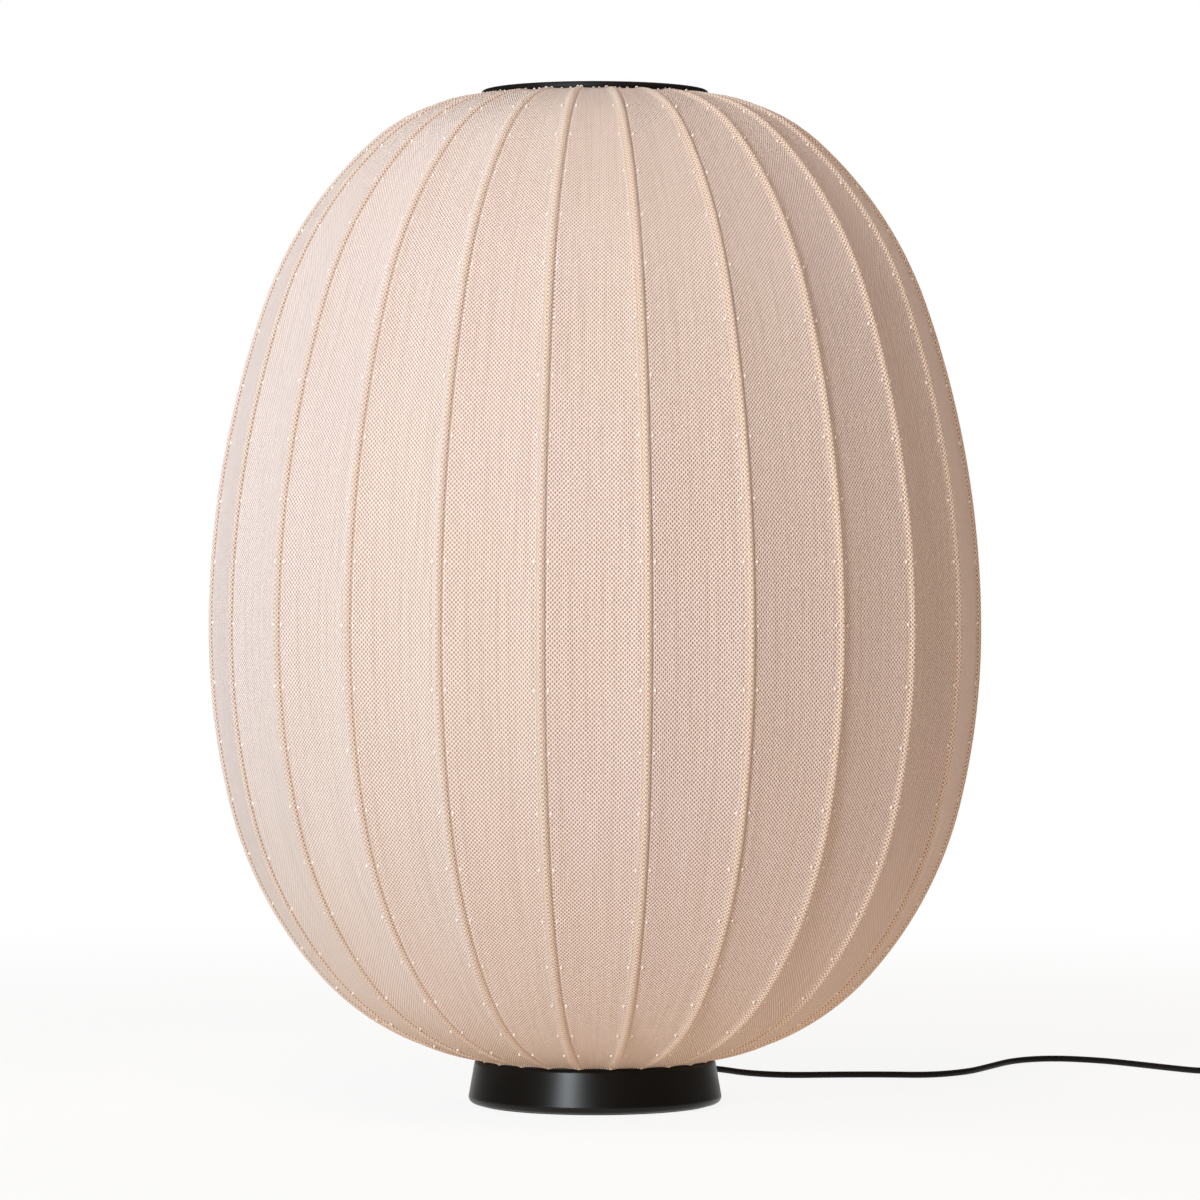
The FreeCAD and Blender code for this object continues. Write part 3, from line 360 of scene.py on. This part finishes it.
def knit_finish():
    """Pale rib knit: loops with pale crests painted as highlight and gaps painted brown as shade, and close
    stitches along each rod channel with painted shade in its creases.
    """
    look = Finish("knit", roughness=0.82)
    stitch = look.uv("knit")
    wale, course, _ = look.parts(stitch)
    from_rib, right_side, _ = look.parts(look.uv("rib"))

    # Loops: columns that wander a little on the panel and follow the rib beside it
    wander = look.math("MULTIPLY_ADD", look.noise(stitch, WANDER_SCALE), WALE_WANDER, -WALE_WANDER / 2)
    beside_rib = look.math("LESS_THAN", from_rib, RIB_STITCHES / MM)
    panel_wale = look.math("ADD", wale, wander)
    rib_column = look.math("MULTIPLY_ADD", from_rib, MM / RIB_WALE_PITCH, 0.5)
    rib_wale = look.math("SUBTRACT", rib_column, panel_wale)
    across = look.math("MULTIPLY_ADD", rib_wale, beside_rib, panel_wale)
    column = look.math("COSINE", look.math("MULTIPLY", across, 2 * pi))
    loop_across = look.math("COSINE", look.math("MULTIPLY", across, pi))
    loop_along = look.math("COSINE", look.math("MULTIPLY", course, pi))
    loops = look.math("MULTIPLY", loop_across, loop_along)
    pattern = look.math("MULTIPLY_ADD", column, COLUMN_SHARE, loops)
    raised = look.math("MULTIPLY", pattern, -1.0)

    # Bands beside a rib, weaker at the rings; the creases at the foot of each channel carry painted shade
    below_crown = look.between(course, *CROWN_COURSES)
    above_hem = look.between(course, *HEM_COURSES)
    away_from_rings = look.math("MULTIPLY", below_crown, above_hem)
    worked = look.math("MULTIPLY_ADD", away_from_rings, 1 - SHARE_AT_RINGS, SHARE_AT_RINGS)
    left_side = look.math("SUBTRACT", 1.0, right_side)
    flank = look.math("MULTIPLY", look.between(from_rib, *FLANK), worked)
    left_flank = look.math("MULTIPLY", flank, left_side)
    right_flank = look.math("MULTIPLY", flank, right_side)
    at_foot = look.math("MULTIPLY", right_flank, look.between(from_rib, *FOOT_OF_FLANK))
    high_up = look.math("SUBTRACT", right_flank, at_foot)
    # Painted shade: the crease at the foot of each channel, darker on its right side
    past_flank = look.between(from_rib, *SHADED_CREASE_START)
    shaded_crease = look.math("MULTIPLY", past_flank, look.between(from_rib, *SHADED_CREASE_END))
    left_crease_shade = look.math("MULTIPLY", shaded_crease, left_side)
    right_crease_shade = look.math("MULTIPLY", look.math("MULTIPLY", shaded_crease, right_side), worked)
    past_crease = look.between(from_rib, *PALE_LINE_START)
    pale_line = look.math("MULTIPLY", past_crease, look.between(from_rib, *PALE_LINE_END))

    # Yarn: two tones in large patches, streaks along the columns, and a painted highlight on the loop crests
    streak_place = look.node("ShaderNodeMapping")
    look.join(stitch, streak_place.inputs["Vector"])
    streak_place.inputs["Scale"].default_value = STREAK_STRETCH
    streak = look.noise(streak_place.outputs[0], scale=1.0, detail=3.0, roughness=0.65)
    blush = look.between(look.noise(look.place(), BLUSH_SCALE), *BLUSH_EDGE)
    yarn = look.mix(blush, SAND_YARN, ROSE_YARN)
    yarn = look.mix(look.between(streak, *STREAK_EDGE), yarn, STREAK_YARN)
    yarn = look.tinted(yarn, left_flank, LEFT_FLANK_TINT)
    # Painted shade in the left crease
    yarn = look.tinted(yarn, left_crease_shade, LEFT_CREASE_SHADE)
    yarn = look.tinted(yarn, look.between(raised, *CREST_HIGHLIGHT_EDGE), CREST_HIGHLIGHT_TINT)
    yarn = look.tinted(yarn, right_flank, RIGHT_FLANK_TINT)

    # Painted shade in the gaps between the loops, darkest at the foot of a rib's right flank
    gap_shade_share = look.math("MULTIPLY_ADD", high_up, -GAP_SHADE_LOST_ON_FLANK, GAP_SHADE_SHARE)
    gap_shade = look.math("MULTIPLY", look.between(pattern, *GAP_SHADE_EDGE), gap_shade_share)
    # Painted shade: dark holes at the foot of a rib's right flank
    hole_shade = look.math("MULTIPLY", look.between(pattern, *HOLE_SHADE_EDGE), at_foot)
    colour = look.mix(gap_shade, yarn, GAP_SHADE_BROWN)
    colour = look.tinted(colour, hole_shade, HOLE_SHADE_TINT)
    # Painted shade in the right crease
    colour = look.tinted(colour, right_crease_shade, RIGHT_CREASE_SHADE)
    colour = look.tinted(colour, pale_line, PALE_LINE_TINT)
    look.set("Base Color", colour)
    look.set("Sheen Weight", 0.5)
    look.set("Sheen Roughness", 0.45)
    look.set("Specular IOR Level", 0.15)
    look.bump(raised, strength=1.0, distance=STITCH_HEIGHT)
    return look.material


def satin_black(name, base, roughness, gloss):
    """Black powder coat or moulding: satin, with a very fine grain and slightly duller patches."""
    look = Finish(name, roughness)
    look.set("Specular IOR Level", gloss)
    grain = look.noise(look.place(), scale=1400.0)
    tone = look.noise(look.place(), scale=18.0, detail=3.0)
    look.set("Base Color", look.mix(tone, base, tuple(1.6 * c for c in base)))
    look.set("Roughness", look.math("MULTIPLY_ADD", tone, 0.08, roughness - 0.04))
    look.bump(grain, strength=0.05, distance=0.15 * MM)
    return look.material


def plain_metal(name, base, roughness, grain_scale):
    """Bare metal with a fine drawn grain."""
    look = Finish(name, roughness)
    grain = look.noise(look.place(), grain_scale, detail=4.0)
    look.set("Base Color", look.mix(grain, tuple(0.85 * c for c in base), base))
    look.set("Roughness", look.math("MULTIPLY_ADD", grain, 0.2, roughness - 0.1))
    look.set("Metallic", 1.0)
    look.bump(grain, strength=0.1, distance=0.05 * MM)
    return look.material


def pale_smooth(name, base, roughness):
    """Smooth pale moulding, opal glass or white yarn with a faint cloud."""
    look = Finish(name, roughness)
    cloud = look.noise(look.place(), scale=40.0, detail=3.0)
    look.set("Base Color", look.mix(cloud, base, tuple(0.95 * c for c in base)))
    look.bump(cloud, strength=0.03, distance=0.1 * MM)
    return look.material


def felt_finish():
    """Pressed black felt."""
    look = Finish("felt", roughness=0.95)
    fibre = look.noise(look.place(), scale=900.0, detail=5.0, roughness=0.7)
    look.set("Base Color", look.mix(fibre, (0.012, 0.012, 0.012), (0.05, 0.048, 0.046)))
    look.bump(fibre, strength=0.6, distance=0.3 * MM)
    return look.material


def dress_cad_nodes():
    """Finishes of the solids that stay in view. Returns those that the cord and the spring share."""
    black = satin_black("black_satin", (0.0026, 0.0018, 0.0012), roughness=0.35, gloss=0.27)
    ring_black = satin_black("ring_black", (0.0026, 0.0018, 0.0012), roughness=0.55, gloss=0.3)
    plastic = satin_black("black_plastic", (0.005, 0.0045, 0.004), roughness=0.48, gloss=0.5)
    sheath = satin_black("cord_sheath", (0.003, 0.002, 0.0014), roughness=0.6, gloss=0.2)
    zinc = plain_metal("zinc", (0.62, 0.62, 0.61), roughness=0.35, grain_scale=350.0)
    brass = plain_metal("brass", (0.78, 0.58, 0.28), roughness=0.3, grain_scale=500.0)
    steel = plain_metal("rod_steel", (0.7, 0.7, 0.7), roughness=0.3, grain_scale=600.0)
    opal = pale_smooth("opal_glass", (0.9, 0.89, 0.86), roughness=0.25)
    white = pale_smooth("bulb_white", (0.86, 0.86, 0.84), roughness=0.35)
    ceramic = pale_smooth("ceramic", (0.82, 0.8, 0.75), roughness=0.5)
    finishes = {
        black: ["foot_shell", "stem_tube", "stem_collar"],
        ring_black: ["top_ring", "lower_ring"],
        plastic: [
            "holder_cap", "holder_sleeve", "switch_base", "switch_cover", "switch_button", "plug_body",
        ],
        sheath: ["strain_relief", "inner_cable", "coil_tie"],
        zinc: ["foot_plate", "foot_ballast", "tie_screws", "stem_nut", "holder_nut", "switch_screws"],
        brass: ["screw_shell", "holder_contact", "bulb_tip", "plug_pins"],
        steel: [name for name in NODES if name.startswith("shade_rod_")] + ["bulb_cap"],
        opal: ["bulb_globe"],
        white: ["bulb_skirt"],
        ceramic: ["holder_insert"],
        felt_finish(): ["foot_pad"],
    }
    for material, names in finishes.items():
        for name in names:
            slots = NODES[name].data.materials
            slots.clear()
            slots.append(material)
    return sheath, steel


# Cord and its switch's spring


def coil_turns(start):
    """Points of the coil from its start, heading +X: in on the floor, up a layer, out again on top."""
    layer = [(COIL_OUTER_RADIUS - COIL_PITCH / 2 * k, 0.0) for k in range(COIL_HALF_TURNS_PER_LAYER)]
    waist = COIL_OUTER_RADIUS - COIL_PITCH / 2 * COIL_HALF_TURNS_PER_LAYER
    point = start
    side = 1
    points = []
    for radius, climb in layer + [(waist, COIL_LAYER)] + layer[::-1]:
        centre = point + Vector((0, side * radius, climb / 2))
        reach = radius / cos(pi / (2 * COIL_POINTS_PER_HALF_TURN))
        for k in range(COIL_POINTS_PER_HALF_TURN):
            turn = pi * (k + 0.5) / COIL_POINTS_PER_HALF_TURN
            offset = Vector((side * reach * sin(turn), -side * reach * cos(turn), -climb / 2 * cos(turn)))
            points.append(centre + offset)
        point = point + Vector((0, side * 2 * radius, climb))
        side = -side
    return points, point


def cord_route():
    """Control points of the whole cord, from the strain relief to the plug."""
    points = [Vector(p) * MM for p in LEAD_ROUTE_MM + TAIL_ROUTE_MM]
    lead = ALONG_X * (2 * CORD_RADIUS)
    turns, coil_end = coil_turns(points[-1] + lead)
    end = coil_end - lead
    halfway_down = (end.z + PLUG_AXIS_HEIGHT) / 2
    points += turns + [end, end - ALONG_X * COIL_TO_BEND]
    points.append(Vector((end.x - COIL_TO_DROP, PLUG_AXIS_Y + DROP_BESIDE_AXIS, halfway_down)))
    for distance in (COIL_TO_PLUG_LINE, COIL_TO_PLUG):
        points.append(Vector((end.x - distance, PLUG_AXIS_Y, PLUG_AXIS_HEIGHT)))
    return points


def button_spring(material):
    """Coil spring in the switch, squashed onto its foot by the button."""
    low, high = (Vector(corner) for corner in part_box("switch_spring"))
    middle = (low + high) / 2
    radius = (high.x - low.x) / 2 - SPRING_WIRE_RADIUS
    rise = high.z - low.z - 2 * SPRING_WIRE_RADIUS
    start = Vector((middle.x, middle.y - radius, low.z + SPRING_WIRE_RADIUS))
    across_wire = Matrix.Translation(start) @ Matrix.Rotation(pi / 2, 4, "Y")
    steps = SPRING_TURNS * SPRING_STEPS_PER_TURN
    bm = bmesh.new()
    bmesh.ops.create_circle(
        bm, segments=SPRING_WIRE_SIDES, radius=SPRING_WIRE_RADIUS, matrix=across_wire
    )
    bmesh.ops.spin(
        bm, geom=bm.edges[:], cent=middle, axis=UP, dvec=UP * (rise / steps), steps=steps,
        angle=2 * pi * SPRING_TURNS,
    )
    bmesh.ops.holes_fill(bm, edges=[edge for edge in bm.edges if edge.is_boundary])
    bmesh.ops.recalc_face_normals(bm, faces=bm.faces)
    spring = new_piece("button_spring", bm, material)
    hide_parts("switch_spring")
    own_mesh(spring)
    return spring


def mains_cord(material, spring):
    """Black cord on one smooth line, with its switch, tie and plug."""
    points = cord_route()
    data = bpy.data.curves.new("mains_cord", "CURVE")
    data.dimensions = "3D"
    line = data.splines.new("NURBS")
    line.points.add(len(points) - 1)
    for place, point in zip(line.points, points):
        place.co = (*point, 1.0)
    line.order_u = 3
    line.use_endpoint_u = True
    line.resolution_u = CORD_STEPS
    data.bevel_depth = CORD_RADIUS
    data.bevel_resolution = CORD_ROUNDNESS
    data.use_fill_caps = True
    data.materials.append(material)
    cord = bpy.data.objects.new("mains_cord", data)
    bpy.context.scene.collection.objects.link(cord)
    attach(cord, "lamp")
    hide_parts("cord_lead", "cord_tail", "cord_coil", "cord_end")


# Shade


class Station(NamedTuple):
    """A place on the ridge of a rib, with its heading from upright and its distance along the rib."""

    radius: float
    height: float
    heading: float
    distance: float

    def half_width(self):
        """Half the width of a gore between its two ridges."""
        return self.radius * sin(HALF_RIB_ANGLE)


def arc_radii(reach, rise, headings, ratio):
    """Radii of three tangent arcs that start upright and cover a reach and a rise."""
    c1, c2, c3 = [cos(radians(h)) for h in headings]
    s1, s2, s3 = [sin(radians(h)) for h in headings]
    first_reach = 1 - c1
    other_reach = ratio * (c1 - c2) + c2 - c3
    other_rise = ratio * (s2 - s1) + s3 - s2
    scale = first_reach * other_rise - other_reach * s1
    first = (reach * other_rise - other_reach * rise) / scale
    third = (first_reach * rise - s1 * reach) / scale
    return first, ratio * third, third


def half_rib(end_radius, end_height, headings, ratio, side):
    """Stations of a rib from the widest height to one end, with the distance from the widest height."""
    radii = arc_radii(SHADE_RADIUS - end_radius, abs(end_height - WIDEST_HEIGHT), headings, ratio)
    stations = [Station(SHADE_RADIUS, WIDEST_HEIGHT, 0.0, 0.0)]
    start = 0.0
    along = 0.0
    for bend, heading in zip(radii, headings):
        finish = radians(heading)
        steps = max(2, round(bend * (finish - start) / STATION_STEP))
        last = stations[-1]
        for k in range(1, steps + 1):
            angle = start + (finish - start) * k / steps
            radius = last.radius - bend * (cos(start) - cos(angle))
            height = last.height + side * bend * (sin(angle) - sin(start))
            stations.append(Station(radius, height, side * angle, along + bend * (angle - start)))
        along += bend * (finish - start)
        start = finish
    return stations


def rib_line():
    """Stations of a rib's ridge from the lower hem to the crown, with the distance from the crown."""
    upper = half_rib(CROWN_RADIUS, CROWN_HEIGHT, UPPER_HEADINGS, UPPER_ARC_RATIO, 1)
    lower = half_rib(HEM_RADIUS, HEM_HEIGHT, LOWER_HEADINGS, LOWER_ARC_RATIO, -1)
    crown = upper[-1].distance
    line = [station._replace(distance=crown + station.distance) for station in reversed(lower)]
    return line + [station._replace(distance=crown - station.distance) for station in upper[1:]]


def station_at(line, distance):
    """Station of a rib at a distance from the crown."""
    for low, high in zip(line, line[1:]):
        if high.distance <= distance <= low.distance:
            share = (distance - high.distance) / (low.distance - high.distance)
            return Station(*(b + (a - b) * share for a, b in zip(low, high)))
    return line[0]


def knot_distance(k):
    """Distance of a fashioning knot from the crown along its rib: closer together near both ends."""
    t = k / (KNOT_COUNT - 1)
    share = t - KNOT_CROWDING * sin(2 * pi * t) / (2 * pi)
    return FIRST_KNOT_FROM_CROWN + share * (LAST_KNOT_FROM_CROWN - FIRST_KNOT_FROM_CROWN)


def course_at(distance):
    """Course of the knit at a distance from the crown."""
    length = LAST_KNOT_FROM_CROWN - FIRST_KNOT_FROM_CROWN
    t = (distance - FIRST_KNOT_FROM_CROWN) / length
    share = t + KNOT_CROWDING * sin(2 * pi * t) / (2 * pi)
    return share * (KNOT_COUNT - 1) * COURSES_PER_KNOT


def gore_columns(half_width):
    """Places across a gore from one ridge to the next: dense over the channels, even over the panel."""
    shares = [1 - (1 - k / CHANNEL_COLUMNS) ** CHANNEL_CROWDING for k in range(CHANNEL_COLUMNS + 1)]
    edge = [CHANNEL_HALF_WIDTH * share for share in shares]
    edge.append(CHANNEL_HALF_WIDTH + CHANNEL_MARGIN)
    panel = half_width - edge[-1]
    inner = [panel * (2 * k / PANEL_COLUMNS - 1) for k in range(1, PANEL_COLUMNS)]
    return [d - half_width for d in edge] + inner + [half_width - d for d in reversed(edge)]


def channel_share(distance, length):
    """How far the channel stands up at a distance from the crown: it runs out towards both rings."""
    t = min(1.0, distance / CHANNEL_RUN_OUT, (length - distance) / CHANNEL_RUN_OUT)
    return CHANNEL_END_SHARE + (1 - CHANNEL_END_SHARE) * (3 * t * t - 2 * t ** 3)


def gore_point(station, across, length):
    """Point of the gore round +X, at a place across it."""
    half_width = station.half_width()
    fall = min(1.0, (half_width - abs(across)) / CHANNEL_HALF_WIDTH)
    depth = CHANNEL_DEPTH * fall ** CHANNEL_ROUNDNESS * channel_share(station.distance, length)
    depth += PANEL_DIP_PER_WIDTH * 2 * half_width * (1 - (across / half_width) ** 2)
    slope = sin(station.heading) * cos(HALF_RIB_ANGLE)
    outward = Vector((cos(station.heading), 0, slope)).normalized()
    return Vector((station.radius * cos(HALF_RIB_ANGLE), across, station.height)) - outward * depth


def wale_pitch(half_width):
    """Spacing of the columns of loops: closer where the gore is narrow."""
    share = half_width / (SHADE_RADIUS * sin(HALF_RIB_ANGLE))
    return WALE_PITCH * (WALE_END_SHARE + (1 - WALE_END_SHARE) * share)


def knit_cover(material):
    """The knit: one gore shaped over its channels and panel, repeated and sewn at the ridges."""
    line = rib_line()
    hem = line[0]
    length = hem.distance
    line.insert(0, hem._replace(radius=hem.radius + HEM_LIP_OUT, height=hem.height + HEM_LIP_UP))
    columns = 2 * (CHANNEL_COLUMNS + 1) + PANEL_COLUMNS
    rows = len(line) - 1
    bm = bmesh.new()
    bmesh.ops.create_grid(bm, x_segments=columns, y_segments=rows, size=0.5)
    stitch_layer = bm.loops.layers.uv.new("knit")
    rib_layer = bm.loops.layers.uv.new("rib")
    stitches = {}
    ribs = {}
    for vert in bm.verts:
        column = round((vert.co.x + 0.5) * columns)
        station = line[round((vert.co.y + 0.5) * rows)]
        half_width = station.half_width()
        across = gore_columns(half_width)[column]
        vert.co = gore_point(station, across, length)
        stitches[vert] = (across / wale_pitch(half_width), course_at(station.distance))
        ribs[vert] = ((half_width - abs(across)) / MM, float(across < 0))
    for face in bm.faces:
        for loop in face.loops:
            loop[stitch_layer].uv = stitches[loop.vert]
            loop[rib_layer].uv = ribs[loop.vert]
    repeat_round_lamp(bm)
    bmesh.ops.remove_doubles(bm, verts=bm.verts[:], dist=SEWN_WITHIN)
    bmesh.ops.recalc_face_normals(bm, faces=bm.faces[:])
    cover = new_piece("knit_cover", bm, material)
    wall = cover.modifiers.new("thickness", "SOLIDIFY")
    wall.thickness = KNIT_THICKNESS
    wall.offset = -1.0
    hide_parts("knit_shade")
    return cover


def fashioning_knots(material):
    """Small white knots in pairs beside every rib."""
    line = rib_line()
    bm = bmesh.new()
    for k in range(KNOT_COUNT):
        station = station_at(line, knot_distance(k))
        proud = KNOT_PROUD * Vector((cos(station.heading), 0, sin(station.heading)))
        for side in (-1, 1):
            across = side * (station.half_width() - KNOT_FROM_RIB)
            place = gore_point(station, across, line[0].distance)
            shape = Matrix.Translation(place + proud) @ Matrix.Diagonal(KNOT_STRETCH)
            bmesh.ops.create_uvsphere(bm, u_segments=6, v_segments=4, radius=KNOT_RADIUS, matrix=shape)
    repeat_round_lamp(bm)
    knots = new_piece("fashioning_knots", bm, material)
    return knots


def one_edge_loop():
    """Mesh of a single arch of yarn."""
    arch = bmesh.new()
    yarn_end = Matrix.Translation((0, EDGE_LOOP_RADIUS, 0))
    bmesh.ops.create_circle(arch, segments=EDGE_YARN_SIDES, radius=EDGE_YARN_RADIUS, matrix=yarn_end)
    bmesh.ops.spin(
        arch, geom=arch.verts[:] + arch.edges[:], axis=ALONG_X, cent=(0, 0, 0), steps=EDGE_LOOP_STEPS,
        angle=pi, use_duplicate=False,
    )
    bmesh.ops.holes_fill(arch, edges=arch.edges[:], sides=EDGE_YARN_SIDES)
    bmesh.ops.recalc_face_normals(arch, faces=arch.faces[:])
    mesh = bpy.data.meshes.new("one_loop")
    arch.to_mesh(mesh)
    arch.free()
    return mesh


def edge_loops(material):
    """Pale loops of yarn that stand out where the knit is tucked under the top ring."""
    one_loop = one_edge_loop()
    spread = Random(EDGE_LOOP_SEED)
    line = rib_line()
    station = station_at(line, EDGE_LOOPS_FROM_CROWN)
    bm = bmesh.new()
    for gore in range(RIB_COUNT):
        round_lamp = Matrix.Rotation(2 * pi * gore / RIB_COUNT, 4, "Z")
        for k in range(EDGE_LOOPS_PER_GORE):
            share = (k + spread.uniform(*EDGE_LOOP_PLACES)) / EDGE_LOOPS_PER_GORE
            across = station.half_width() * (2 * share - 1)
            place = Matrix.Translation(gore_point(station, across, line[0].distance))
            lean = Matrix.Rotation(spread.uniform(*EDGE_LOOP_LEANS), 4, "X")
            size = Matrix.Scale(spread.uniform(*EDGE_LOOP_SIZES), 4)
            before = len(bm.verts)
            bm.from_mesh(one_loop)
            bm.verts.ensure_lookup_table()
            bmesh.ops.transform(bm, matrix=round_lamp @ place @ lean @ size, verts=bm.verts[before:])
    bpy.data.meshes.remove(one_loop)
    loops = new_piece("edge_loops", bm, material)
    return loops


# Camera, floor, background and light


def photo_camera():
    """Camera at the photograph's place and angle."""
    data = bpy.data.cameras.new("photo_camera")
    data.lens = CAMERA_LENS
    data.sensor_width = CAMERA_SENSOR
    camera = bpy.data.objects.new("photo_camera", data)
    camera.location = CAMERA_PLACE
    camera.rotation_euler = (pi / 2 + CAMERA_PITCH, 0, 0)
    bpy.context.scene.collection.objects.link(camera)
    bpy.context.scene.camera = camera


def seen_directly(nodes):
    """Rays that see the studio: those that go straight or through glass, and these with any gloss."""
    rays = nodes.node("ShaderNodeLightPath").outputs
    straight = nodes.math("MAXIMUM", rays["Is Camera Ray"], rays["Is Transmission Ray"])
    return straight, nodes.math("MAXIMUM", straight, rays["Is Glossy Ray"])


def floor_finish():
    """White floor with a faint shadow near the lamp, which throws a warm light up on it."""
    look = Finish("floor_white", roughness=0.9)
    look.set("Base Color", FLOOR_BASE)
    look.set("Specular IOR Level", 0.0)
    white = look.node("ShaderNodeEmission")
    white.inputs["Strength"].default_value = FLOOR_WHITE
    distance = look.node("ShaderNodeVectorMath", operation="LENGTH")
    look.join(look.place(), distance.inputs[0])
    near = look.between(distance.outputs["Value"], *SHADOW_FADE)
    warm = look.node("ShaderNodeEmission")
    look.feed(FLOOR_LIGHT, warm.inputs["Color"])
    shadowed = look.node("ShaderNodeMixShader")
    look.join(look.math("MULTIPLY", near, FLOOR_SHADOW), shadowed.inputs[0])
    look.join(white.outputs[0], shadowed.inputs[1])
    look.join(look.shader.outputs[0], shadowed.inputs[2])
    both = look.node("ShaderNodeMixShader")
    look.join(seen_directly(look)[1], both.inputs[0])
    look.join(warm.outputs[0], both.inputs[1])
    look.join(shadowed.outputs[0], both.inputs[2])
    look.join(both.outputs[0], look.output.inputs["Surface"])
    return look.material


def studio_floor():
    """Plain floor just under the lamp's foot."""
    bm = bmesh.new()
    bmesh.ops.create_grid(bm, x_segments=1, y_segments=1, size=FLOOR_HALF_SIZE)
    mesh = bpy.data.meshes.new("floor")
    bm.to_mesh(mesh)
    bm.free()
    mesh.materials.append(floor_finish())
    floor = bpy.data.objects.new("floor", mesh)
    floor.location.z = -FLOOR_DROP
    bpy.context.scene.collection.objects.link(floor)


def studio_world():
    """White backdrop, a soft even light from all round, and dim sides of the studio in whatever shines."""
    world = bpy.data.worlds.new("studio")
    bpy.context.scene.world = world
    world.use_nodes = True
    room = Nodes(world.node_tree)
    _, backwards, upwards = room.parts(room.node("ShaderNodeTexCoord").outputs["Generated"])
    straight, seen = seen_directly(room)
    in_gloss = room.mix(room.between(upwards, *CEILING_EDGE), DIM_STUDIO, STUDIO_CEILING)
    in_gloss = room.mix(room.between(backwards, *BACKDROP_EDGE), in_gloss, WHITE)
    backdrop = room.mix(straight, in_gloss, WHITE)
    background = room.tree.nodes["Background"]
    room.join(room.mix(seen, ROOM_LIGHT, backdrop), background.inputs["Color"])


def studio_light():
    """Large soft lamps, of which one shows in a gloss."""
    for name, (place, width, height, power) in LAMPS.items():
        data = bpy.data.lights.new(name, "AREA")
        data.shape = "RECTANGLE"
        data.size = width
        data.size_y = height
        data.energy = max(power)
        data.color = [share / max(power) for share in power]
        lamp = bpy.data.objects.new(name, data)
        lamp.location = place
        lamp.rotation_euler = (LAMP_AIM - Vector(place)).to_track_quat("-Z", "Y").to_euler()
        lamp.visible_glossy = name == GLOSSY_LAMP
        bpy.context.scene.collection.objects.link(lamp)


def build_scene():
    """The lamp in its studio."""
    bpy.context.scene.view_settings.view_transform = "Standard"
    photo_camera()
    sheath, steel = dress_cad_nodes()
    mains_cord(sheath, button_spring(steel))
    cover = knit_cover(knit_finish())
    white_yarn = pale_smooth("knot_yarn", (0.95, 0.91, 0.88), roughness=0.8)
    knots = fashioning_knots(white_yarn)
    loops = edge_loops(white_yarn)
    studio_floor()
    studio_world()
    studio_light()


build_scene()
